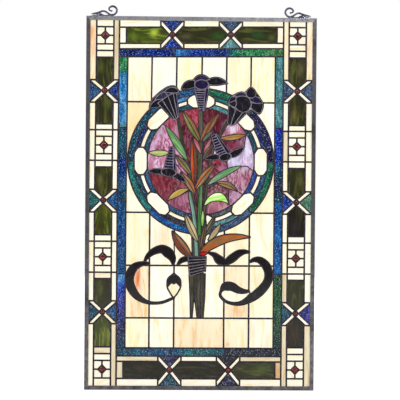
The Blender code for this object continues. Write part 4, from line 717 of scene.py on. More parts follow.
def raw_offset(loop, d):
    """The loop moved d to its left, mitred, with blunt corners where a mitre would run long."""
    n = len(loop)
    out = []
    for i in range(n):
        p, a, b = loop[i], loop[i - 1], loop[(i + 1) % n]
        ax, ay, bx, by = p[0] - a[0], p[1] - a[1], b[0] - p[0], b[1] - p[1]
        la, lb = math.hypot(ax, ay), math.hypot(bx, by)
        if la < 1e-6 or lb < 1e-6:
            continue
        n0, n1 = (-ay / la, ax / la), (-by / lb, bx / lb)
        k = 1 + n0[0] * n1[0] + n0[1] * n1[1]
        turn = ax * by - ay * bx
        if (turn * d < 0 and k < 0.5) or k < 0.05:
            # sharp outside corner of the moved line: two points in place of one long mitre
            out.append((p[0] + n0[0] * d, p[1] + n0[1] * d))
            out.append((p[0] + n1[0] * d, p[1] + n1[1] * d))
        else:
            m = d * min(1 / k, 6.0)
            out.append((p[0] + (n0[0] + n1[0]) * m, p[1] + (n0[1] + n1[1]) * m))
    return out


def winding(px, py, loops):
    w = 0
    for lp in loops:
        x0, y0 = lp[-1]
        for x1, y1 in lp:
            if (y0 <= py) != (y1 <= py):
                s = (x1 - x0) * (py - y0) - (px - x0) * (y1 - y0)
                if y1 > y0 and s > 0:
                    w += 1
                elif y1 < y0 and s < 0:
                    w -= 1
            x0, y0 = x1, y1
    return w


def inset(loops, d):
    """The area at least d inside the loops: (corner points, triangles)."""
    moved = [raw_offset(lp, d) for lp in loops]
    moved = [m for m in moved if len(m) > 2]
    if not moved:
        return [], []
    verts, edges = [], []
    for m in moved:
        base = len(verts)
        verts += [Vector(q) for q in m]
        edges += [(base + i, base + (i + 1) % len(m)) for i in range(len(m))]
    v, e, f, *_ = geometry.delaunay_2d_cdt(verts, edges, [], 0, EPS, False)
    keep = []
    for tri in f:
        cx, cy = sum(v[i].x for i in tri) / 3, sum(v[i].y for i in tri) / 3
        if winding(cx, cy, moved) > 0:
            keep.append(tuple(tri))
    return [(q.x, q.y) for q in v], keep


def rim_of(tris):
    """The boundary loops of a set of triangles, as index lists with the area on the left."""
    count, nxt = {}, {}
    for tri in tris:
        for a, b in zip(tri, tri[1:] + tri[:1]):
            count[(a, b)] = count.get((a, b), 0) + 1
    for (a, b) in count:
        if (b, a) not in count:
            nxt.setdefault(a, []).append(b)
    loops = []
    while nxt:
        start = next(iter(nxt))
        loop, at = [start], start
        while True:
            to = nxt[at].pop()
            if not nxt[at]:
                del nxt[at]
            if to == start:
                break
            loop.append(to)
            at = to
        loops.append(loop)
    return loops


def islands(tris):
    """Triangle sets that hang together over edges."""
    by_edge = {}
    for t, tri in enumerate(tris):
        for a, b in zip(tri, tri[1:] + tri[:1]):
            by_edge.setdefault((min(a, b), max(a, b)), []).append(t)
    seen, out = [False] * len(tris), []
    for t in range(len(tris)):
        if seen[t]:
            continue
        seen[t], stack, group = True, [t], []
        while stack:
            s = stack.pop()
            group.append(tris[s])
            tri = tris[s]
            for a, b in zip(tri, tri[1:] + tri[:1]):
                for o in by_edge[(min(a, b), max(a, b))]:
                    if not seen[o]:
                        seen[o] = True
                        stack.append(o)
        out.append(group)
    return out


# ---------------------------------------------------------------- colours of the glass
def rgb(r, g, b):
    """A colour given as screen values, turned into linear light."""
    return tuple(c / 255 / 12.92 if c < 10.3 else ((c / 255 + 0.055) / 1.055) ** 2.4 for c in (r, g, b))


def sheet(body, streak):
    return rgb(*body), rgb(*streak)


SHEETS = {
    # body colour, colour of its streaks
    "ivory": sheet((255, 251, 232), (253, 234, 184)), "white": sheet((255, 253, 243), (254, 244, 210)),
    "butter": sheet((255, 250, 220), (252, 230, 170)), "honey": sheet((253, 240, 206), (243, 198, 130)),
    "amber": sheet((252, 236, 190), (232, 156, 88)), "parchment": sheet((232, 220, 188), (216, 190, 146)),
    "ochre": sheet((218, 186, 138), (198, 138, 82)),
    "navy": sheet((18, 28, 84), (50, 70, 140)), "cobalt": sheet((14, 40, 118), (44, 84, 176)),
    "sky": sheet((48, 116, 178), (122, 182, 224)), "royal": sheet((12, 40, 138), (44, 88, 190)),
    "steel": sheet((20, 62, 104), (56, 104, 150)), "petrol": sheet((14, 58, 80), (42, 96, 114)),
    "teal": sheet((16, 84, 84), (54, 134, 126)), "sea": sheet((66, 118, 124), (118, 172, 176)),
    "emerald": sheet((10, 80, 56), (50, 130, 92)), "jade": sheet((34, 112, 64), (88, 160, 108)),
    "bottle": sheet((12, 62, 30), (38, 96, 50)), "spruce": sheet((12, 36, 28), (30, 60, 46)),
    "violet": sheet((26, 20, 58), (52, 44, 94)), "iris": sheet((34, 32, 112), (68, 68, 168)),
    "slate": sheet((48, 66, 96), (86, 108, 138)), "ink": sheet((18, 18, 26), (38, 40, 56)),
    "fern": sheet((52, 106, 54), (104, 156, 100)), "mint": sheet((76, 124, 98), (112, 170, 134)),
    "smoke": sheet((62, 66, 72), (106, 108, 114)), "azure": sheet((10, 66, 128), (40, 110, 176)),
    "moss": sheet((48, 48, 30), (92, 96, 46)), "olive_moss": sheet((60, 68, 28), (128, 146, 52)),
    "dark_moss": sheet((36, 34, 26), (62, 60, 42)),
    "ruby": sheet((84, 10, 8), (140, 28, 22)),
    "black": sheet((30, 28, 30), (60, 56, 58)), "night": sheet((34, 26, 58), (80, 70, 112)),
    "plum": sheet((52, 44, 70), (106, 98, 132)), "coal": sheet((30, 28, 34), (70, 66, 76)),
}

# textured bands round the field: (place along the band in mm, sheet)
BAND_GLASS = {
    "top": ((95, "navy"), (150, "cobalt"), (198, "navy"), (206, "sky"), (240, "cobalt"), (300, "navy"), (322, "cobalt"),
            (330, "teal"), (355, "jade"), (400, "jade"), (432, "fern")),
    "left": ((95, "jade"), (122, "jade"), (136, "sky"), (240, "sky"), (252, "sea"), (258, "petrol"), (318, "petrol"), (332, "cobalt"),
             (380, "steel"), (420, "petrol"), (426, "steel"), (500, "azure"), (586, "steel"), (592, "sky"), (618, "royal"),
             (655, "iris"), (690, "navy"), (720, "violet"), (757, "petrol")),
    "right": ((95, "sea"), (248, "sea"), (256, "royal"), (328, "royal"), (340, "steel"), (360, "petrol"), (388, "violet"), (418, "petrol"),
              (426, "azure"), (586, "azure"), (592, "bottle"), (660, "bottle"), (757, "spruce")),
    "bottom": ((93, "petrol"), (196, "steel"), (201, "steel"), (245, "teal"), (318, "petrol"), (325, "ink"), (435, "ink")),
}
RING_GLASS = ("emerald", "slate", "azure", "teal", "petrol", "steel", "emerald", "violet")
STRIP_GLASS = (("steel", "cobalt"), ("sea", "smoke"), ("coal", "steel"), ("petrol", "steel"),
               ("navy", "petrol"), ("sky", "petrol"), ("teal", "sea"), ("navy", "petrol"))
CROSS_GLASS = {
    "left_cross_1_outer": "steel", "left_cross_1_inner": "cobalt", "left_cross_2_outer": "teal", "left_cross_2_inner": "azure",
    "left_cross_3_outer": "petrol", "left_cross_3_inner": "steel", "right_cross_1_outer": "slate", "right_cross_1_inner": "slate",
    "right_cross_2_outer": "mint", "right_cross_2_inner": "royal", "right_cross_3_outer": "iris", "right_cross_3_inner": "petrol",
    "top_cross_1_outer": "cobalt", "top_cross_1_inner": "royal", "top_cross_2_outer": "slate", "top_cross_2_inner": "sea",
    "bottom_cross_1_outer": "petrol", "bottom_cross_1_inner": "violet", "bottom_cross_2_outer": "violet", "bottom_cross_2_inner": "ink",
}
CREAM_GLASS = {
    "field_1_2": "white", "field_1_4": "white", "field_5_2": "white", "field_2_6": "white", "field_1_3": "butter", "field_1_5": "butter",
    "field_1_6": "butter", "field_2_1": "amber", "field_5_1": "honey", "field_5_5": "honey", "field_6_3": "honey", "field_6_5": "butter",
    "field_3_6": "honey", "field_4_5": "butter", "field_5_6": "butter", "field_6_1": "butter", "field_4_1": "butter",
    "left_outer_strip_1": "honey", "right_outer_strip_1": "honey", "right_inner_strip_1": "honey", "left_inner_strip_8": "parchment",
    "right_outer_strip_8": "parchment", "bottom_end_piece_2": "ochre", "bottom_end_piece_1": "parchment", "right_inner_strip_8": "parchment",
    "right_inner_strip_7": "parchment", "bottom_inner_strip_1": "parchment", "bottom_inner_strip_3": "parchment",
    "left_block_strip_15": "parchment", "left_block_strip_14": "honey", "right_inner_strip_3": "parchment", "left_inner_strip_1": "parchment",
    "loop_left": "butter", "loop_right": "ivory",
}
GREEN_GLASS = {"green_top_1": "olive_moss", "green_left_6": "olive_moss", "green_left_4": "olive_moss", "green_right_4": "dark_moss",
               "green_bottom_2": "dark_moss", "green_right_6": "dark_moss", "green_bottom_1": "dark_moss"}
LILY_GLASS = {"lily_2_cup": "night", "lily_2_petal_3": "plum", "lily_1_stave_4": "night", "lily_1_petal_2": "plum", "lily_4_petal_1": "coal",
              "lily_3_petal_1": "night", "lily_3_petal_2": "plum", "lily_3_petal_3": "night", "lily_2_side": "night", "lily_5_cup": "coal"}


def blend(p, q, t):
    return tuple(a + (b - a) * t for a, b in zip(p, q))


def along(stops, at):
    """Body and streak colour at a place along a band whose glass changes from one sheet into the next."""
    for (p0, s0), (p1, s1) in zip(stops, stops[1:]):
        if at <= p1:
            t = clamp((at - p0) / (p1 - p0), 0.0, 1.0)
            return blend(SHEETS[s0][0], SHEETS[s1][0], t), blend(SHEETS[s0][1], SHEETS[s1][1], t)
    return SHEETS[stops[-1][1]]


AMBER_CLOUDS = (
    # centre, half sizes in mm, colour, strength
    (15, 40, 7, 26, (244, 150, 76), 0.95), (15, 78, 7, 20, (240, 160, 96), 0.8), (509, 70, 7, 36, (240, 186, 146), 0.7), (120, 258, 22, 40, (244, 190, 116), 0.8),
    (121, 600, 7, 28, (226, 112, 48), 1.7), (352, 674, 20, 12, (238, 170, 106), 0.85), (326, 750, 10, 7, (234, 156, 92), 0.85),
    (250, 728, 6, 26, (240, 176, 112), 0.8), (300, 732, 40, 12, (250, 220, 180), 0.5), (396, 602, 18, 30, (250, 200, 146), 0.8), (174, 506, 14, 34, (246, 206, 156), 0.7),
    (206, 500, 3, 24, (240, 180, 96), 0.8), (228, 534, 14, 20, (246, 206, 160), 0.7), (300, 545, 30, 14, (248, 212, 168), 0.6), (440, 34, 5, 16, (242, 180, 124), 0.6),
    (411, 260, 16, 40, (252, 228, 180), 0.6), (352, 500, 22, 34, (252, 224, 178), 0.6), (222, 672, 9, 34, (250, 220, 178), 0.6), (382, 720, 10, 20, (252, 214, 160), 0.6),
    (228, 120, 8, 22, (252, 226, 160), 0.7), (336, 110, 8, 18, (252, 228, 168), 0.7), (130, 130, 6, 30, (254, 236, 180), 0.6), (372, 150, 14, 16, (250, 224, 170), 0.6),
    (116, 470, 8, 34, (252, 232, 176), 0.6), (152, 620, 8, 20, (250, 226, 180), 0.5), (318, 600, 12, 26, (252, 226, 184), 0.5),
)
LILAC_CLOUDS = (
    (337, 256, 9, 9, (236, 228, 244), 0.95), (322, 246, 6, 6, (214, 190, 214), 0.7), (352, 262, 8, 6, (196, 110, 130), 0.7), (170, 262, 10, 13, (206, 176, 200), 0.85),
    (157, 290, 9, 10, (212, 176, 210), 0.8), (150, 330, 8, 16, (210, 150, 176), 0.7), (178, 326, 8, 14, (198, 132, 150), 0.7), (206, 262, 5, 20, (192, 150, 176), 0.8),
    (196, 240, 8, 8, (176, 70, 82), 0.8), (222, 228, 8, 12, (164, 60, 70), 0.8), (370, 300, 8, 26, (222, 216, 238), 0.9), (340, 326, 13, 13, (208, 204, 232), 0.9),
    (366, 340, 10, 10, (226, 200, 226), 0.8), (334, 296, 10, 8, (132, 44, 64), 0.9), (300, 332, 14, 10, (150, 44, 60), 0.8), (292, 352, 10, 10, (112, 30, 50), 0.8),
    (318, 346, 8, 6, (170, 110, 150), 0.7), (300, 242, 12, 16, (96, 24, 34), 0.9), (318, 262, 7, 6, (150, 96, 124), 0.8), (246, 296, 6, 9, (222, 150, 156), 0.8),
    (280, 300, 6, 10, (196, 110, 130), 0.7), (172, 384, 22, 16, (120, 40, 54), 0.7), (190, 410, 12, 10, (150, 84, 104), 0.6), (160, 372, 8, 6, (166, 60, 70), 0.7),
    (224, 420, 10, 12, (170, 112, 138), 0.7), (204, 432, 9, 9, (140, 70, 96), 0.7), (296, 436, 14, 9, (178, 120, 136), 0.7), (320, 438, 8, 6, (210, 176, 190), 0.6),
    (330, 388, 7, 14, (104, 58, 84), 0.8), (352, 372, 10, 10, (186, 110, 142), 0.7), (344, 408, 9, 9, (206, 160, 190), 0.7), (372, 372, 6, 12, (158, 70, 88), 0.7),
    (308, 364, 8, 8, (196, 140, 166), 0.6), (268, 330, 5, 14, (200, 120, 140), 0.6), (228, 392, 8, 6, (196, 120, 140), 0.6),
)
MOSS_CLOUDS = (
    (154, 36, 9, 9, (172, 196, 66), 0.9), (108, 46, 10, 8, (104, 128, 40), 0.7), (132, 48, 12, 7, (84, 106, 34), 0.6), (228, 44, 14, 6, (96, 92, 62), 0.6),
    (300, 44, 14, 8, (50, 92, 40), 0.7), (392, 40, 16, 9, (48, 84, 44), 0.7), (424, 46, 8, 8, (88, 104, 46), 0.6),
    (34, 118, 8, 14, (92, 100, 44), 0.6), (50, 196, 7, 12, (96, 104, 50), 0.6), (34, 376, 8, 16, (110, 108, 54), 0.6),
    (48, 430, 8, 22, (122, 108, 42), 0.6), (36, 486, 10, 10, (66, 44, 22), 0.7), (34, 620, 8, 20, (86, 88, 46), 0.5), (46, 730, 9, 18, (116, 118, 54), 0.6),
    (490, 116, 8, 16, (110, 102, 70), 0.6), (476, 222, 8, 16, (122, 112, 60), 0.6), (492, 372, 8, 18, (108, 106, 58), 0.6), (480, 480, 9, 16, (52, 46, 56), 0.7),
    (478, 730, 9, 18, (70, 48, 28), 0.6), (410, 806, 16, 8, (70, 92, 40), 0.7), (380, 812, 12, 7, (60, 70, 36), 0.6), (128, 806, 16, 8, (70, 62, 48), 0.5),
)


def clouds(colour, x, y, table, share=1.0):
    """Ragged clouds of other colours that were melted into a sheet."""
    for cx, cy, rx, ry, tint, strength in table:
        d = ((x - cx) / rx) ** 2 + ((y - cy) / ry) ** 2
        if d < 6.0:
            ragged = 1.0 + 0.9 * noise.noise((x / 7.0, y / 13.0, cx)) + 0.5 * noise.noise((x / 3.0, y / 6.0, cy))
            colour = blend(colour, rgb(*tint), min(1.0, share * strength * math.exp(-d * 1.1 * max(ragged, 0.25))))
    return colour


def vivid(tint, strength, gain):
    """A screen colour moved away from grey and made brighter, in linear light."""
    mid = sum(tint) / 3
    return rgb(*(clamp((mid + (c - mid) * strength) * gain, 4, 252) for c in tint))


def richer(pair, strength=1.14):
    """Both colours of a sheet moved away from grey."""
    return tuple(tuple(max(0.002, sum(c) / 3 + (q - sum(c) / 3) * strength) for q in c) for c in pair)


def colours(piece, x, y):
    """(body, streak) of a glass piece at a point."""
    name, word = piece.name, piece.name.split("_")
    if word[0] == "band":
        return richer(along(BAND_GLASS[word[1]], x if word[1] in ("top", "bottom") else y))
    if name.startswith("ring_band"):
        return richer(SHEETS[RING_GLASS[int(word[-1]) - 1]])
    if name.startswith("ring_outer") or name.startswith("ring_inner"):
        return SHEETS[STRIP_GLASS[int(word[-1]) - 1][0 if word[1] == "outer" else 1]]
    if name in CROSS_GLASS:
        return SHEETS[CROSS_GLASS[name]]
    if word[0] == "green":
        body, streak = SHEETS[GREEN_GLASS.get(name, "moss")]
        return clouds(body, x, y, MOSS_CLOUDS), clouds(streak, x, y, MOSS_CLOUDS)
    if piece.glass == "gem":
        return SHEETS["ruby"]
    if piece.glass == "black":
        return SHEETS["black"]
    if piece.glass == "petal":
        return SHEETS[LILY_GLASS.get(name, "night" if "throat" in name or "side" in name else "coal")]
    if piece.glass == "cream":
        body, streak = SHEETS[CREAM_GLASS.get(name, "ivory")]
        return clouds(body, x, y, AMBER_CLOUDS, 0.55), clouds(streak, x, y, AMBER_CLOUDS, 1.1)
    if piece.glass == "lilac":
        body, streak = vivid(piece.tint_a, 1.18, 1.0), vivid(piece.tint_b, 1.12, 1.05)
        return clouds(body, x, y, LILAC_CLOUDS, 0.95), clouds(streak, x, y, LILAC_CLOUDS, 1.1)
    return vivid(piece.tint_a, 1.35, 1.08), vivid(piece.tint_b, 1.30, 1.08)


# ---------------------------------------------------------------- meshes
def inside(px, py, loops):
    """Which points have a positive winding number in the loops."""
    w = np.zeros(len(px), int)
    for lp in loops:
        p = np.asarray(lp, float)
        q = np.roll(p, -1, axis=0)
        for k in range(0, len(p), 64):
            x0, y0, x1, y1 = (c[k:k + 64, None] for c in (p[:, 0], p[:, 1], q[:, 0], q[:, 1]))
            side = (x1 - x0) * (py - y0) - (px - x0) * (y1 - y0)
            w += ((y0 <= py) & (py < y1) & (side > 0)).sum(0)
            w -= ((y1 <= py) & (py < y0) & (side < 0)).sum(0)
    return w > 0


def far_from(px, py, loops):
    """Distance of each point from the nearest of the loops."""
    best = np.full(len(px), 1e9)
    for lp in loops:
        p = np.asarray(lp, float)
        d = np.roll(p, -1, axis=0) - p
        n = np.maximum((d ** 2).sum(1), 1e-12)
        for k in range(0, len(p), 64):
            ax, ay, dx, dy, nn = (c[k:k + 64, None] for c in (p[:, 0], p[:, 1], d[:, 0], d[:, 1], n))
            t = np.clip(((px - ax) * dx + (py - ay) * dy) / nn, 0, 1)
            best = np.minimum(best, np.hypot(px - ax - t * dx, py - ay - t * dy).min(0))
    return best


def seed_of(text):
    s = 7
    for c in text:
        s = (s * 131 + ord(c)) % 99991
    return s


def filled(loops, d, spacing, seed):
    """Triangles over the area d inside the loops, with a jittered grid of inner points."""
    moved = [m for m in (raw_offset(lp, d) for lp in loops) if len(m) > 2]
    if not moved:
        return [], []
    verts, edges = [], []
    for m in moved:
        base = len(verts)
        verts += [Vector(q) for q in m]
        edges += [(base + i, base + (i + 1) % len(m)) for i in range(len(m))]
    if spacing:
        flat = np.concatenate([np.asarray(m) for m in moved])
        lo, hi = flat.min(0), flat.max(0)
        rng = np.random.RandomState(seed)
        rows = int((hi[1] - lo[1]) / (spacing * 0.87)) + 1
        cols = int((hi[0] - lo[0]) / spacing) + 2
        gy, gx = np.mgrid[0:rows, 0:cols].astype(float)
        px = (lo[0] + (gx + 0.5 * (gy % 2)) * spacing).ravel() + rng.uniform(-0.18, 0.18, rows * cols) * spacing
        py = (lo[1] + gy * spacing * 0.87).ravel() + rng.uniform(-0.18, 0.18, rows * cols) * spacing
        core = [m for m in (raw_offset(lp, d + spacing * 0.45) for lp in loops) if len(m) > 2]
        ok = inside(px, py, core) & inside(px, py, moved)
        verts += [Vector((float(a), float(b))) for a, b in zip(px[ok], py[ok])]
    v, e, f, *_ = geometry.delaunay_2d_cdt(verts, edges, [], 0, EPS, False)
    tri = np.array([t[:3] for t in f], int)
    co = np.array([(q.x, q.y) for q in v])
    mid = co[tri].mean(1)
    ok = inside(mid[:, 0], mid[:, 1], moved)
    return [tuple(q) for q in co], [tuple(int(i) for i in t) for t in tri[ok]]


class Bag:
    """Collects vertices, faces and per-vertex values of one mesh object. Places are panel mm plus depth."""

    def __init__(self):
        self.verts, self.faces, self.body, self.streak, self.flow = [], [], [], [], []

    def point(self, x, y, z, body=(0, 0, 0), streak=(0, 0, 0), flow=(0, 0, 0)):
        self.verts.append(((x - W / 2) * MM, z * MM, (BEARING_Y - y) * MM))
        self.body.append(body)
        self.streak.append(streak)
        self.flow.append(flow)
        return len(self.verts) - 1

    def make(self, name, material, smooth=True, angle=38.0):
        mesh = bpy.data.meshes.new(name)
        mesh.from_pydata(self.verts, [], self.faces)
        if any(b != (0, 0, 0) for b in self.body[:50]):
            for key, values in (("body", self.body), ("streak", self.streak)):
                att = mesh.attributes.new(key, "FLOAT_COLOR", "POINT")
                flat = np.ones((len(values), 4), np.float32)
                flat[:, :3] = values
                att.data.foreach_set("color", flat.ravel())
        att = mesh.attributes.new("flow", "FLOAT_VECTOR", "POINT")
        att.data.foreach_set("vector", np.asarray(self.flow, np.float32).ravel())
        mesh.materials.append(material)
        mesh.validate()
        if smooth:
            mesh.shade_smooth()
            mesh.set_sharp_from_angle(angle=math.radians(angle))
        ob = bpy.data.objects.new(name, mesh)
        bpy.context.scene.collection.objects.link(ob)
        return ob


RELIEF = {
    # family: grid spacing in mm, (height, pitch along, pitch across) of the front relief
    "cream": (5.0, (0.05, 26.0, 15.0)), "moss": (4.0, (0.06, 14.0, 10.0)), "ripple": (1.35, (0.30, 4.6, 3.2)), "deep": (1.3, (0.28, 2.6, 5.0)),
    "lilac": (3.6, (0.07, 16.0, 9.0)), "leaf": (3.0, (0.05, 12.0, 6.0)), "petal": (3.0, (0.06, 9.0, 6.0)), "black": (3.4, (0.05, 16.0, 9.0)),
}
BEAD = {"cream": 2.05, "moss": 1.8, "ripple": 1.6, "deep": 1.35, "lilac": 1.3, "leaf": 1.05, "petal": 1.0, "black": 1.0, "gem": 1.15, "lead": 9.0}


def lie_of(outline):
    """Direction in degrees of the long axis of an outline."""
    q = np.asarray(outline, float)
    q = q - q.mean(0)
    values, axes = np.linalg.eigh(q.T @ q)
    return math.degrees(math.atan2(axes[1, 1], axes[0, 1]))


def glass_plate(bag, piece, part, loops):
    """One pane: two faces with the ripple of rolled glass, and its ground edge, which ends under the bead."""
    seed = seed_of(piece.name) + 17 * part
    rng = np.random.RandomState(seed)
    spacing, (high, pu, pv) = RELIEF[piece.glass]
    pts, tris = filled(loops, BEAD[piece.glass] - 0.45, spacing, seed)
    if not tris:
        return 0
    lean_x, lean_y = rng.uniform(-0.0022, 0.0022, 2)
    shift = float(rng.uniform(0, 900))
    grain = math.radians(piece.grain + float(rng.uniform(-5, 5)))
    c, s = math.cos(grain), math.sin(grain)
    level = 1.0 + float(rng.uniform(-0.045, 0.045))
    made = 0
    for group in islands(tris):
        used = sorted({i for t in group for i in t})
        area = sum(abs((pts[t[1]][0] - pts[t[0]][0]) * (pts[t[2]][1] - pts[t[0]][1])
                       - (pts[t[2]][0] - pts[t[0]][0]) * (pts[t[1]][1] - pts[t[0]][1])) / 2 for t in group)
        if area < 0.12:
            continue
        cx = sum(pts[i][0] for i in used) / len(used)
        cy = sum(pts[i][1] for i in used) / len(used)
        front, back = {}, {}
        for i in used:
            x, y = pts[i]
            if piece.name.startswith("ring_"):
                dx, dy = x - RING_C[0], y - RING_C[1]
                u, v = math.atan2(dy, dx) * 147.0, math.hypot(dx, dy)
            else:
                u, v = x * c + y * s, -x * s + y * c
            body, streak = colours(piece, x, y)
            body = tuple(b * level for b in body)
            bump = noise.noise((u / pu, v / pv, shift)) * high
            wave = noise.noise((u / pu / 2.3, v / pv / 2.3, shift + 31)) * high * 0.6
            tilt_z = clamp((x - cx) * lean_x + (y - cy) * lean_y, -0.16, 0.16)
            flow = (u, v, shift)
            front[i] = bag.point(x, y, -1.5 - bump - wave + tilt_z, body, streak, flow)
            back[i] = bag.point(x, y, 1.5 + wave * 0.6 + bump * 0.3 + tilt_z, body, streak, flow)
        for t in group:
            bag.faces.append((front[t[2]], front[t[1]], front[t[0]]))
            bag.faces.append((back[t[0]], back[t[1]], back[t[2]]))
        for rim in rim_of(group):
            for a, b in zip(rim, rim[1:] + rim[:1]):
                bag.faces.append((front[a], front[b], back[b], back[a]))
        made += 1
    return made


def jewel(bag, piece, loops):
    """A pressed garnet: a low pillow on a straight rim, a square one set on its corner."""
    flat = [q for lp in loops for q in lp]
    cx, cy = sum(q[0] for q in piece.outline) / len(piece.outline), sum(q[1] for q in piece.outline) / len(piece.outline)
    square = "square" in piece.name
    n = 40 if square else 24
    r = (GEM - BEAD["gem"] * 1.35) if square else ROUND_GEM - BEAD["gem"] + 0.25
    body, streak = SHEETS["ruby"]
    # share of the radius, height in mm, roundness of the outline (1 a straight-sided diamond, 2 a circle)
    rows = ((1.0, 0.0, 1.0), (1.0, 1.0, 1.0), (0.95, 1.65, 1.04), (0.86, 2.2, 1.1), (0.74, 2.62, 1.2), (0.60, 2.92, 1.35), (0.44, 3.13, 1.6),
            (0.24, 3.26, 1.9), (0.0, 3.3, 2.0))
    for sign in (-1, 1):
        rings = []
        for scale, z, power in rows:
            z = z if sign < 0 else z * 0.72
            if scale == 0.0:
                rings.append([bag.point(cx, cy, sign * z, body, streak, (cx, cy, 5.0))])
                continue
            ring = []
            for k in range(n):
                a = 2 * math.pi * k / n
                c, s = math.cos(a), math.sin(a)
                m = (abs(c) ** power + abs(s) ** power) ** (-1 / power) if square else 1.0
                x, y = cx + r * scale * m * c, cy + r * scale * m * s
                ring.append(bag.point(x, y, sign * z, body, streak, (x, y, 5.0)))
            rings.append(ring)
        for lower, upper in zip(rings, rings[1:]):
            for k in range(n):
                a, b = lower[k], lower[(k + 1) % n]
                quad = (a, b, upper[0]) if len(upper) == 1 else (a, b, upper[(k + 1) % n], upper[k])
                bag.faces.append(quad[::-1] if sign > 0 else quad)
    return 1


def solder_web(patches, verts):
    """The bead over the foil of every joint, in zones: a ridge along each joint that falls in a round curve to the glass."""
    points = [Vector((q[0], q[1])) for q in verts]
    edges, marks, shared = [], [], {}
    for n, (piece, part, loops, area, ids) in enumerate(patches):
        for lp in ids:
            for a, b in zip(lp, lp[1:] + lp[:1]):
                key = (min(a, b), max(a, b))
                if key not in shared:
                    shared[key] = len(edges)
                    edges.append(key)
    rims = len(edges)
    inner = []
    for n, (piece, part, loops, area, ids) in enumerate(patches):
        width = BEAD[piece.glass]
        narrow = area < 2.6 * width * sum(math.dist(p, q) for lp in loops for p, q in zip(lp, lp[1:] + lp[:1])) / 2
        moved = []
        for share in () if piece.glass == "lead" else ((1.0,) if narrow else (0.42, 0.78, 1.0)):
            moved = [m for m in (raw_offset(lp, width * share) for lp in loops) if len(m) > 2]
            for m in moved:
                base = len(points)
                points += [Vector(q) for q in m]
                edges += [(base + i, base + (i + 1) % len(m)) for i in range(len(m))]
        inner.append(moved)
    v, e, f, ov, oe, of = geometry.delaunay_2d_cdt(points, edges, [], 0, EPS, True)
    co = np.array([(q.x, q.y) for q in v])
    tri = np.array([t[:3] for t in f], int)
    wall = {tuple(sorted(ed)) for ed, src in zip(e, oe) if any(s < rims for s in src)}
    by_edge = {}
    for t, (a, b, c) in enumerate(tri.tolist()):
        for p, q in ((a, b), (b, c), (c, a)):
            by_edge.setdefault((min(p, q), max(p, q)), []).append(t)
    zone = np.full(len(tri), -1)
    count = 0
    for t in range(len(tri)):
        if zone[t] >= 0:
            continue
        stack, zone[t] = [t], count
        while stack:
            s = stack.pop()
            a, b, c = tri[s].tolist()
            for key in ((min(a, b), max(a, b)), (min(b, c), max(b, c)), (min(c, a), max(c, a))):
                if key in wall:
                    continue
                for o in by_edge[key]:
                    if zone[o] < 0:
                        zone[o] = count
                        stack.append(o)
        count += 1
    mid = co[tri].mean(1)
    size = np.abs((co[tri[:, 1]] - co[tri[:, 0]])[:, 0] * (co[tri[:, 2]] - co[tri[:, 0]])[:, 1]
                  - (co[tri[:, 2]] - co[tri[:, 0]])[:, 0] * (co[tri[:, 1]] - co[tri[:, 0]])[:, 1]) / 2
    order = np.argsort(zone, kind="stable")
    starts = np.searchsorted(zone[order], np.arange(count + 1))
    boxes = []
    for piece, part, loops, area, ids in patches:
        flat = np.concatenate([np.asarray(lp) for lp in loops])
        boxes.append((flat.min(0), flat.max(0)))
    low, high = np.array([b[0] for b in boxes]), np.array([b[1] for b in boxes])
    height = np.full(len(co), -1.0)
    kept, owner = [], []
    for z in range(count):
        members = order[starts[z]:starts[z + 1]]
        big = members[np.argmax(size[members])]
        m = mid[big]
        near = np.nonzero(((low <= m) & (m <= high)).all(1))[0]
        home = -1
        for n in near:
            if inside(m[0:1], m[1:2], patches[n][2])[0]:
                home = n
                break
        if home < 0:
            continue
        piece, part, loops, area, ids = patches[home]
        stay = members
        if inner[home]:
            clear = inside(mid[members][:, 0], mid[members][:, 1], inner[home])
            stay = members[~clear]
            # an opening of less than 3 square mm is closed by the bead
            left = set(members[clear].tolist())
            while left:
                group = [left.pop()]
                for s in group:
                    a, b, c = tri[s].tolist()
                    for key in ((min(a, b), max(a, b)), (min(b, c), max(b, c)), (min(c, a), max(c, a))):
                        for o in by_edge[key]:
                            if o in left:
                                left.discard(o)
                                group.append(o)
                if size[group].sum() < 3.0:
                    stay = np.append(stay, group)
        if not len(stay):
            continue
        used = np.unique(tri[stay])
        d = far_from(co[used][:, 0], co[used][:, 1], loops) / BEAD[piece.glass]
        lift = np.sqrt(np.clip(1 - np.clip(d, 0, 1) ** 2, 0, 1)) ** 0.9
        height[used] = np.maximum(height[used], lift)
        kept.append(stay)
        owner += [piece.name] * len(stay)
    kept = np.concatenate(kept)
    # blobs where several beads meet
    meet = {}
    for a, b in shared:
        meet.setdefault(a, set()).add(b)
        meet.setdefault(b, set()).add(a)
    knots = [(verts[i][0], verts[i][1]) for i, s in meet.items() if len(s) > 2]
    knot_grid = {}
    for x, y in knots:
        knot_grid.setdefault((int(x // 4), int(y // 4)), []).append((x, y))

    def lift_at(i):
        x, y = co[i]
        h = float(height[i])
        near = 9.0
        gx, gy = int(x // 4), int(y // 4)
        for ix in (gx - 1, gx, gx + 1):
            for iy in (gy - 1, gy, gy + 1):
                for kx, ky in knot_grid.get((ix, iy), ()):
                    near = min(near, math.hypot(x - kx, y - ky))
        swell = 0.22 * math.exp(-(near / 2.0) ** 2)
        lump = noise.noise((x * 0.16, y * 0.16, 3.3)) * 0.16 + noise.noise((x * 0.55, y * 0.55, 9.1)) * 0.07
        z = 1.5 + (0.72 + swell + lump) * h
        under = min(x - RAIL, W - RAIL - x, y - RAIL, H - RAIL - y)
        if under < 0:
            z = min(z, 1.75)
        return z

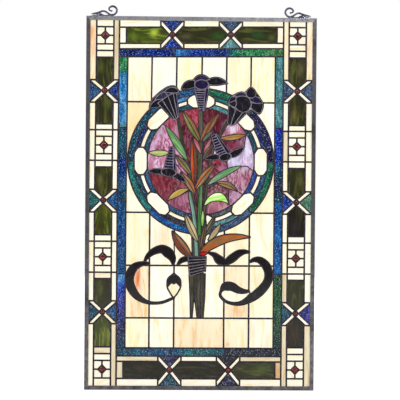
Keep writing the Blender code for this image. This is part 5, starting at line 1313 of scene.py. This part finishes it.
    zones = {"solder_border": ("left", "right", "top", "bottom", "green", "fill"), "solder_field": ("band", "field", "loop", "ribbon", "tail"),
             "solder_ring": ("ring", "lozenge", "shard"), "solder_lilies": ("lily", "wrap"), "solder_bunch": None}
    groups = {k: [] for k in zones}
    for t, name in zip(kept, owner):
        first = name.split("_")[0]
        for k, words in zones.items():
            if words is None or first in words:
                groups[k].append(t)
                break
    z_of = {}
    out = []
    for name, members in groups.items():
        bag = Bag()
        front, back = {}, {}
        tris = [tuple(t) for t in tri[members].tolist()]
        for i in sorted({i for t in tris for i in t}):
            if i not in z_of:
                z_of[i] = lift_at(i)
            x, y = co[i]
            front[i] = bag.point(x, y, -z_of[i], flow=(x, y, 0.0))
            back[i] = bag.point(x, y, 1.5 + (z_of[i] - 1.5) * 0.8, flow=(x, y, 40.0))
        rim = {}
        for t in tris:
            bag.faces.append((front[t[2]], front[t[1]], front[t[0]]))
            bag.faces.append((back[t[0]], back[t[1]], back[t[2]]))
            for p, q in zip(t, t[1:] + t[:1]):
                rim[(p, q)] = True
        for p, q in rim:
            if (q, p) not in rim:
                bag.faces.append((front[p], front[q], back[q], back[p]))
        out.append((name, bag))
    return out


# ---------------------------------------------------------------- materials
def material(name):
    m = bpy.data.materials.new(name)
    m.use_nodes = True
    nt = m.node_tree
    nt.nodes.clear()
    out = nt.nodes.new("ShaderNodeOutputMaterial")
    s = nt.nodes.new("ShaderNodeBsdfPrincipled")
    nt.links.new(s.outputs["BSDF"], out.inputs["Surface"])
    return m, nt, s


def node(nt, kind, **values):
    n = nt.nodes.new(kind)
    for key, value in values.items():
        if key in n.inputs:
            n.inputs[key].default_value = value
        else:
            setattr(n, key, value)
    return n


def attribute(nt, name):
    n = nt.nodes.new("ShaderNodeAttribute")
    n.attribute_name = name
    return n


def scaled(nt, source, scale):
    n = nt.nodes.new("ShaderNodeMapping")
    n.vector_type = "POINT"
    n.inputs["Scale"].default_value = scale
    nt.links.new(source, n.inputs["Vector"])
    return n.outputs["Vector"]


def noise_of(nt, vector, scale, detail=3.0, rough=0.5, distortion=0.0):
    n = nt.nodes.new("ShaderNodeTexNoise")
    n.inputs["Scale"].default_value = scale
    n.inputs["Detail"].default_value = detail
    n.inputs["Roughness"].default_value = rough
    n.inputs["Distortion"].default_value = distortion
    nt.links.new(vector, n.inputs["Vector"])
    return n.outputs["Fac"]


def ranged(nt, value, a, b, c, d):
    n = nt.nodes.new("ShaderNodeMapRange")
    n.interpolation_type = "SMOOTHSTEP"
    for key, v in zip(("From Min", "From Max", "To Min", "To Max"), (a, b, c, d)):
        n.inputs[key].default_value = v
    nt.links.new(value, n.inputs["Value"])
    return n.outputs["Result"]


def mixed(nt, fac, a, b, how="MIX"):
    n = nt.nodes.new("ShaderNodeMix")
    n.data_type = "RGBA"
    n.blend_type = how
    for socket, value in ((n.inputs["Factor"], fac), (n.inputs[6], a), (n.inputs[7], b)):
        if hasattr(value, "is_output"):
            nt.links.new(value, socket)
        elif isinstance(value, (int, float)):
            socket.default_value = value
        else:
            socket.default_value = (*value, 1.0)
    return n.outputs[2]


def times(nt, a, b):
    n = nt.nodes.new("ShaderNodeMath")
    n.operation = "MULTIPLY"
    for socket, value in ((n.inputs[0], a), (n.inputs[1], b)):
        if hasattr(value, "is_output"):
            nt.links.new(value, socket)
        else:
            socket.default_value = value
    return n.outputs[0]


def bump(nt, shader, value, strength, distance):
    n = nt.nodes.new("ShaderNodeBump")
    n.inputs["Strength"].default_value = strength
    n.inputs["Distance"].default_value = distance
    nt.links.new(value, n.inputs["Height"])
    nt.links.new(n.outputs["Normal"], shader.inputs["Normal"])


def glass(name, long_pitch, wide_pitch, lo, hi, swirl, painted_glow, rough, wisp=0.0, painted_glint=0.0, painted_glint_size=2.0, shade=0.10, relief=0.12):
    """Rolled art glass: two colours pulled into streaks along the sheet, faint wisps, painted highlights (pale glints)
    and painted shade (dark pits) where a textured face would catch or lose light, and painted backlight: emission for
    light from behind."""
    m, nt, s = material(name)
    flow = attribute(nt, "flow").outputs["Vector"]
    body, streak = attribute(nt, "body").outputs["Color"], attribute(nt, "streak").outputs["Color"]
    pulled = scaled(nt, flow, (1 / long_pitch, 1 / wide_pitch, 1.0))
    mask = ranged(nt, noise_of(nt, pulled, 1.0, 4.0, 0.55, swirl), lo, hi, 0.0, 1.0)
    colour = mixed(nt, mask, body, streak)
    # slow change of depth over the sheet, and fine threads in the pull direction
    slow = ranged(nt, noise_of(nt, scaled(nt, flow, (1 / 40, 1 / 22, 1.0)), 1.0, 2.0, 0.5, 0.6), 0.3, 0.7, 1.0 - shade, 1.0 + shade * 0.5)
    threads = ranged(nt, noise_of(nt, scaled(nt, flow, (1 / 14, 1 / 1.6, 1.0)), 1.0, 3.0, 0.6, 0.3), 0.25, 0.75, 1.0 - shade * 0.55, 1.0 + shade * 0.3)
    both = times(nt, slow, threads)
    grey = nt.nodes.new("ShaderNodeCombineColor")
    for k in range(3):
        nt.links.new(both, grey.inputs[k])
    colour = mixed(nt, 1.0, colour, grey.outputs["Color"], "MULTIPLY")
    if wisp:
        white = ranged(nt, noise_of(nt, scaled(nt, flow, (1 / 34, 1 / 7.0, 1.0)), 1.0, 5.0, 0.62, 1.8), 0.58, 0.80, 0.0, wisp)
        colour = mixed(nt, white, colour, rgb(240, 232, 246))
    if painted_glint:
        # painted highlight: pale glints mixed into the colour where a rippled face would catch a lamp
        glint = ranged(nt, noise_of(nt, scaled(nt, flow, (1 / painted_glint_size,) * 3), 1.0, 2.0, 0.5, 0.2), 0.60, 0.65, 0.0, painted_glint)
        painted_glint_colour = mixed(nt, 0.40, rgb(196, 220, 236), body)
        colour = mixed(nt, glint, colour, painted_glint_colour)
        # painted shade: near-black spots mixed into the colour where a rippled face would turn from the light
        painted_pit_shade = ranged(nt, noise_of(nt, scaled(nt, flow, (1 / painted_glint_size / 1.3,) * 3), 1.0, 2.0, 0.5, 0.2), 0.36, 0.46, 0.80, 0.0)
        colour = mixed(nt, painted_pit_shade, colour, (0.004, 0.008, 0.014))
    # painted backlight: the glass colour also goes out as emission, standing in for light shining through from behind
    nt.links.new(colour, s.inputs["Base Color"])
    nt.links.new(colour, s.inputs["Emission Color"])
    s.inputs["Emission Strength"].default_value = painted_glow
    s.inputs["IOR"].default_value = 1.52
    nt.links.new(ranged(nt, noise_of(nt, scaled(nt, flow, (1 / 9, 1 / 6, 1.0)), 1.0, 3.0), 0.3, 0.7, rough * 0.75, rough * 1.5), s.inputs["Roughness"])
    bump(nt, s, noise_of(nt, scaled(nt, flow, (1 / 3.2, 1 / 1.8, 1.0)), 1.0, 3.0, 0.5, 0.4), relief, 0.0006)
    return m


def metal(name, dark, light, rough, metallic, pitch, relief=0.25, lift=0.0, stain=None):
    m, nt, s = material(name)
    at = nt.nodes.new("ShaderNodeTexCoord").outputs["Object"]
    n1 = noise_of(nt, scaled(nt, at, (1000 / pitch,) * 3), 1.0, 5.0, 0.6, 0.4)
    n2 = noise_of(nt, scaled(nt, at, (1000 / pitch / 7,) * 3), 1.0, 3.0, 0.5, 0.2)
    colour = mixed(nt, ranged(nt, n1, 0.32, 0.70, 0.0, 1.0), dark, light)
    colour = mixed(nt, ranged(nt, n2, 0.52, 0.70, 0.0, 0.55), colour, stain or dark)
    nt.links.new(colour, s.inputs["Base Color"])
    s.inputs["Metallic"].default_value = metallic
    nt.links.new(ranged(nt, n1, 0.3, 0.7, rough * 1.25, rough * 0.8), s.inputs["Roughness"])
    bump(nt, s, noise_of(nt, scaled(nt, at, (1000 / pitch * 2.4,) * 3), 1.0, 4.0, 0.6), relief, 0.0005)
    return m


# ---------------------------------------------------------------- hangers
def cast_hanger(name, mirror, mat):
    """A scroll cast in one piece: round bars of changing thickness, a small leaf, a foot, and the solder that holds it."""
    scroll = ((10, -4.4, 1.4), (17, -5.6, 4.2), (25, -6.9, 5.2), (31, -9.4, 5.0), (37, -11.4, 4.6), (43, -10.4, 4.4),
              (49, -6.4, 4.4), (54, -3.6, 4.6), (60, -3.0, 4.6), (65, -5.2, 4.5), (68.6, -10.0, 4.5), (69, -15.0, 4.6),
              (66, -20.0, 4.8), (60, -22.6, 5.0), (54, -20.8, 4.6), (51.0, -16.5, 4.2), (53.2, -12.8, 3.5), (56.6, -12.0, 3.0))
    bars = (scroll, ((27.5, -2.2, 1.6), (31, -4.6, 3.2), (36, -3.8, 2.6), (39, -2.2, 1.4)),
            ((14, -1.2, 3.0), (41, -1.3, 3.2), (62, -1.3, 3.2)), ((23.5, -7.2, 3.4), (24.5, -4.5, 3.8), (25, -2.0, 4.6)))
    bm = bmesh.new()
    sides = 14

    def at(x, y, z):
        x = 524.0 - x if mirror else x
        return Vector(((x - W / 2) * MM, z * MM, (BEARING_Y - y) * MM))

    for bar_points in bars:
        line = spline(bar_points, 0.8)
        rings = []
        n = len(line)
        for i, (x, y, w) in enumerate(line):
            q, r = line[max(i - 1, 0)], line[min(i + 1, n - 1)]
            dx, dy = r[0] - q[0], r[1] - q[1]
            m = math.hypot(dx, dy) or 1.0
            deep = min(1.95, max(0.5, w * 0.56))
            rings.append([bm.verts.new(at(x - dy / m * w / 2 * math.cos(a), y + dx / m * w / 2 * math.cos(a), deep * math.sin(a)))
                          for a in (2 * math.pi * k / sides for k in range(sides))])
        for one, two in zip(rings, rings[1:]):
            for k in range(sides):
                bm.faces.new((one[k], one[(k + 1) % sides], two[(k + 1) % sides], two[k]))
        bm.faces.new(rings[0][::-1])
        bm.faces.new(rings[-1])
    for x, y, rx, ry, rz in ((57.0, -12.0, 2.3, 2.3, 2.0), (24.8, -1.6, 4.6, 1.6, 1.9), (56.0, -1.5, 6.0, 1.5, 1.9), (34.0, -1.2, 5.0, 1.1, 1.7)):
        made = bmesh.ops.create_icosphere(bm, subdivisions=3, radius=1.0)
        centre = at(x, y, 0.0)
        for v in made["verts"]:
            v.co = centre + Vector((v.co.x * rx, v.co.y * rz, v.co.z * ry)) * MM
    bmesh.ops.recalc_face_normals(bm, faces=bm.faces)
    mesh = bpy.data.meshes.new(name)
    bm.to_mesh(mesh)
    bm.free()
    raw = bpy.data.objects.new(name + "_raw", mesh)
    bpy.context.scene.collection.objects.link(raw)
    mod = raw.modifiers.new("join", "REMESH")
    mod.mode = "VOXEL"
    mod.voxel_size = 0.00030
    soft = raw.modifiers.new("soften", "SMOOTH")
    soft.factor, soft.iterations = 0.5, 3
    bpy.context.view_layer.update()
    done = bpy.data.meshes.new_from_object(raw.evaluated_get(bpy.context.evaluated_depsgraph_get()))
    bpy.data.objects.remove(raw)
    done.name = name
    moved = [v.co + v.normal * (noise.noise(v.co * 700.0) * 0.05 + noise.noise(v.co * 2100.0) * 0.02) * MM for v in done.vertices]
    done.vertices.foreach_set("co", np.array([tuple(c) for c in moved], np.float32).ravel())
    done.update()
    done.materials.clear()
    done.materials.append(mat)
    done.shade_smooth()
    ob = bpy.data.objects.new(name, done)
    bpy.context.scene.collection.objects.link(ob)
    return ob


def solder_lumps(name, mat):
    """Flat dabs of solder over the top rail, where the two hangers are held."""
    bm = bmesh.new()
    rng = np.random.RandomState(31)
    spots = []
    for x, y, rx, ry in ((7, 2.2, 5.0, 2.2), (13, 0.8, 4.5, 1.8), (19, 3.0, 6.0, 2.6), (25, 1.2, 4.5, 2.2), (31, 3.2, 4.0, 1.8), (36, 1.4, 3.5, 1.5),
                         (42, 3.6, 3.4, 1.2), (58, 1.3, 5.0, 1.9), (65, 3.8, 2.6, 1.3), (73, 3.2, 3.4, 1.5), (79, 2.6, 2.2, 1.1)):
        spots += [(x, y, rx, ry, -1), (524.0 - x, y, rx, ry, -1), (x + 1.5, y, rx * 0.8, ry * 0.8, 1), (525.5 - x, y, rx * 0.8, ry * 0.8, 1)]
    for x, y, rx, ry, side in spots:
        made = bmesh.ops.create_icosphere(bm, subdivisions=3, radius=1.0)
        turn = float(rng.uniform(0, 50))
        for v in made["verts"]:
            puff = 1.0 + 0.28 * noise.noise(v.co * 1.7 + Vector((turn, 0.0, 0.0)))
            v.co = Vector(((x - W / 2 + v.co.x * rx * puff) * MM, side * (3.45 + abs(v.co.y) * 0.38 * puff if v.co.y * side > 0 else 3.2) * MM,
                           (BEARING_Y - y + v.co.z * ry * puff) * MM))
    mesh = bpy.data.meshes.new(name)
    bm.to_mesh(mesh)
    bm.free()
    mesh.materials.append(mat)
    mesh.shade_smooth()
    ob = bpy.data.objects.new(name, mesh)
    bpy.context.scene.collection.objects.link(ob)
    return ob


# ---------------------------------------------------------------- the panel
def build():
    pieces = build_layout(2.6)
    pieces.insert(0, Piece("fill", "lead", [(2.5, 2.5), (W - 2.5, 2.5), (W - 2.5, H - 2.5), (2.5, H - 2.5)]))
    for piece in pieces:
        if piece.glass == "leaf":
            piece.grain = lie_of(piece.outline)
    patches, verts = cut_layout(pieces)
    flat = [(q.x, q.y) for q in verts]

    garnet = glass("garnet", 14.0, 9.0, 0.45, 0.65, 0.8, 0.42, 0.05, shade=0.20, relief=0.02)
    skin = garnet.node_tree.nodes["Principled BSDF"]
    skin.inputs["IOR"].default_value = 1.6
    skin.inputs["Coat Weight"].default_value = 0.6
    skin.inputs["Coat IOR"].default_value = 1.6
    skin.inputs["Coat Roughness"].default_value = 0.04
    looks = {
        "cream": glass("cream_opalescent", 90.0, 11.0, 0.46, 0.70, 1.4, 0.455, 0.16, shade=0.04, relief=0.10),
        "moss": glass("green_cathedral", 60.0, 11.0, 0.48, 0.74, 1.0, 0.42, 0.10, shade=0.16, relief=0.14),
        "ripple": glass("rippled_blue", 30.0, 9.0, 0.42, 0.66, 1.2, 0.44, 0.10, painted_glint=0.80, painted_glint_size=2.3, shade=0.22, relief=0.24),
        "deep": glass("rippled_strip", 20.0, 5.0, 0.42, 0.66, 1.0, 0.46, 0.10, painted_glint=0.75, painted_glint_size=2.1, shade=0.22, relief=0.24),
        "lilac": glass("wispy_lilac", 34.0, 15.0, 0.42, 0.60, 2.8, 0.42, 0.12, wisp=0.30, shade=0.16, relief=0.12),
        "leaf": glass("streaky_leaf", 60.0, 4.6, 0.42, 0.60, 0.8, 0.44, 0.14, shade=0.20, relief=0.14),
        "petal": glass("dark_petal", 26.0, 7.0, 0.54, 0.72, 1.4, 0.42, 0.10, shade=0.20, relief=0.16),
        "black": glass("black_glass", 60.0, 12.0, 0.60, 0.80, 1.0, 0.42, 0.08, shade=0.20, relief=0.10),
        "gem": garnet,
    }
    solder = metal("solder", rgb(58, 50, 58), rgb(104, 94, 104), 0.38, 0.85, 5.0, relief=0.30, stain=rgb(40, 34, 40))
    # painted sheen: a lighter copy of the solder for the lines over the lilies, where the same solder looks light grey
    # over dark glass
    lily_solder_sheen = metal("solder_silver", rgb(146, 138, 152), rgb(202, 194, 208), 0.34, 0.85, 4.0, relief=0.30, stain=rgb(84, 76, 90))
    pewter = metal("solder_dab", rgb(150, 152, 160), rgb(214, 218, 228), 0.30, 0.80, 3.0, relief=0.40, stain=rgb(96, 94, 104))
    zinc = metal("zinc_channel", rgb(124, 120, 126), rgb(168, 164, 170), 0.34, 0.9, 9.0, relief=0.14, stain=rgb(58, 53, 58))
    # painted light: a lighter copy of the zinc for the top rail only, standing in for the light the top channel catches
    # from above
    zinc_painted_lit = metal("zinc_bright", rgb(176, 176, 182), rgb(222, 222, 228), 0.40, 0.80, 9.0, relief=0.12, stain=rgb(140, 138, 144))
    iron = metal("cast_hanger", rgb(92, 86, 108), rgb(142, 136, 164), 0.42, 0.80, 3.0, relief=0.35, stain=rgb(60, 56, 66))

    # which object each family goes to
    groups = {
        "glass_cream_border": ("cream", ("left", "right", "top", "bottom"), "cream_glass", ()),
        "glass_cream_field": ("cream", ("field", "loop"), "cream_glass", "pane_field"),
        "glass_cream_ring": ("cream", ("lozenge", "ring"), "cream_glass", ()),
        "glass_green_panes": ("moss", None, "green_glass", "pane_green"),
        "glass_bands": ("ripple", ("band",), "blue_glass", "pane_band"),
        "glass_ring_band": ("ripple", ("ring",), "blue_glass", ()),
        "glass_crossings": ("ripple", None, "blue_glass", ()),
        "glass_ring_strips": ("deep", None, "blue_glass", ()),
        "glass_lilac": ("lilac", None, None, ()),
        "glass_leaves": ("leaf", None, None, ()),
        "glass_lilies": ("petal", None, None, ()),
        "glass_ribbons": ("black", None, None, ()),
        "garnets": ("gem", None, None, ()),
    }
    bags = {k: Bag() for k in groups}
    total = 0
    for piece, part, loops, area, ids in patches:
        first = piece.name.split("_")[0]
        for key, (family, words, slot, stands_for) in groups.items():
            if piece.glass == family and (words is None or first in words):
                if family == "gem":
                    if part == 1:
                        total += jewel(bags[key], piece, loops)
                else:
                    total += glass_plate(bags[key], piece, part, loops)
                break
    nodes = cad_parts
    made = {}
    for key, (family, words, slot, stands_for) in groups.items():
        ob = bags[key].make(key, looks[family], angle=52.0 if family == "gem" else 38.0)
        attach(ob, "root")
        if stands_for:
            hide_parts(*[n for n in nodes if n.startswith(stands_for)])
        made[key] = ob
    for name, bag in solder_web(patches, flat):
        # the lines over the lilies take the lighter solder copy with its painted sheen
        ob = bag.make(name, lily_solder_sheen if name == "solder_lilies" else solder, angle=60.0)
        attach(ob, "root")
        if name == "solder_border":
            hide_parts("solder_web")
        made[name] = ob
    for name, mirror in (("scroll_hanger_left", False), ("scroll_hanger_right", True)):
        ob = cast_hanger(name, mirror, iron)
        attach(ob, "root")
        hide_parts("hanger_right" if mirror else "hanger_left")
        made[name] = ob
    ob = solder_lumps("hanger_solder", pewter)
    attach(ob, "root")
    made["hanger_solder"] = ob
    for name in ("rail_top", "rail_bottom", "rail_left", "rail_right"):
        ob = nodes[name]
        ob.data.materials.clear()
        # the top rail takes the lighter copy of the zinc: painted light from above
        ob.data.materials.append(zinc_painted_lit if name == "rail_top" else zinc)
        mod = ob.modifiers.new("rolled_edge", "BEVEL")
        mod.width, mod.segments, mod.limit_method, mod.angle_limit = 0.0009, 4, "ANGLE", math.radians(50)
        mod.harden_normals = False
        ob.data.shade_smooth()
        ob.data.set_sharp_from_angle(angle=math.radians(50))
    for key, ob in made.items():
        print("piece", key, len(ob.data.loop_triangles) if ob.data.loop_triangles else sum(len(p.vertices) - 2 for p in ob.data.polygons))
    print("glass pieces", total)


build()

# ---------------------------------------------------------------- floor, light, camera
scene = bpy.context.scene
scene.view_settings.view_transform = "Standard"

floor_mesh = bpy.data.meshes.new("floor")
bm = bmesh.new()
bmesh.ops.create_circle(bm, cap_ends=True, segments=96, radius=3.0)
bm.to_mesh(floor_mesh)
bm.free()
floor = bpy.data.objects.new("floor", floor_mesh)
floor.location = (0.0, 0.0, CAD_BOX[0][2] - 0.0006)
scene.collection.objects.link(floor)
m, nt, s = material("pale_floor")
at = nt.nodes.new("ShaderNodeTexCoord").outputs["Object"]
nt.links.new(mixed(nt, ranged(nt, noise_of(nt, at, 3.0, 3.0), 0.3, 0.7, 0.0, 1.0), (0.60, 0.60, 0.60), (0.64, 0.64, 0.635)), s.inputs["Base Color"])
s.inputs["Roughness"].default_value = 0.9
s.inputs["Emission Color"].default_value = (1.0, 1.0, 1.0, 1.0)
seen = nt.nodes.new("ShaderNodeLightPath").outputs["Is Camera Ray"]
lift = nt.nodes.new("ShaderNodeMath")
lift.operation = "MULTIPLY"
lift.inputs[1].default_value = 0.80
nt.links.new(seen, lift.inputs[0])
nt.links.new(lift.outputs[0], s.inputs["Emission Strength"])
floor_mesh.materials.append(m)

world = bpy.data.worlds.new("studio")
scene.world = world
world.use_nodes = True
nt = world.node_tree
nt.nodes.clear()
out = nt.nodes.new("ShaderNodeOutputWorld")
coord = nt.nodes.new("ShaderNodeTexCoord")
split = nt.nodes.new("ShaderNodeSeparateXYZ")
nt.links.new(coord.outputs["Generated"], split.inputs["Vector"])
ramp = nt.nodes.new("ShaderNodeValToRGB")
shift = nt.nodes.new("ShaderNodeMath")
shift.operation = "MULTIPLY_ADD"
shift.inputs[1].default_value, shift.inputs[2].default_value = 0.5, 0.5
nt.links.new(split.outputs["Y"], shift.inputs[0])
nt.links.new(shift.outputs[0], ramp.inputs["Fac"])
els = ramp.color_ramp.elements
els[0].position, els[0].color = 0.0, (0.05, 0.05, 0.055, 1)
els[1].position, els[1].color = 1.0, (1.0, 1.0, 1.0, 1)
for pos, val in ((0.04, 0.10), (0.12, 0.36), (0.25, 0.72), (0.5, 0.95)):
    e = els.new(pos)
    e.color = (val, val, val, 1)
soft = nt.nodes.new("ShaderNodeBackground")
nt.links.new(ramp.outputs["Color"], soft.inputs["Color"])
soft.inputs["Strength"].default_value = 0.85
white = nt.nodes.new("ShaderNodeBackground")
white.inputs["Color"].default_value = (1, 1, 1, 1)
white.inputs["Strength"].default_value = 1.0
path = nt.nodes.new("ShaderNodeLightPath")
pick = nt.nodes.new("ShaderNodeMixShader")
nt.links.new(path.outputs["Is Camera Ray"], pick.inputs["Fac"])
nt.links.new(soft.outputs[0], pick.inputs[1])
nt.links.new(white.outputs[0], pick.inputs[2])
nt.links.new(pick.outputs[0], out.inputs["Surface"])

for name, place_at, size, power in (("key", (-1.5, -1.7, 0.75), 1.3, 11.0), ("fill", (1.7, -1.5, 0.1), 1.5, 6.0), ("back", (0.6, 1.9, 0.9), 1.4, 22.0),
                                    ("spark", (0.5, -1.9, 0.9), 0.22, 4.0)):
    data = bpy.data.lights.new(name, "AREA")
    data.shape, data.size, data.energy = "SQUARE", size, power
    lamp = bpy.data.objects.new(name, data)
    lamp.location = place_at
    aim = Vector((0.0, 0.0, -0.44)) - lamp.location
    lamp.rotation_mode = "QUATERNION"
    lamp.rotation_quaternion = aim.to_track_quat("-Z", "Y")
    scene.collection.objects.link(lamp)

cam_data = bpy.data.cameras.new("camera")
cam_data.lens, cam_data.sensor_width, cam_data.sensor_fit = 85.0, 36.0, "HORIZONTAL"
cam_data.clip_start, cam_data.clip_end = 0.05, 50.0
camera = bpy.data.objects.new("camera", cam_data)
camera.location = (-0.04118, -2.16614, -0.42087)
camera.rotation_euler = (1.56229, -0.0078, -0.01846)
scene.collection.objects.link(camera)
scene.camera = camera
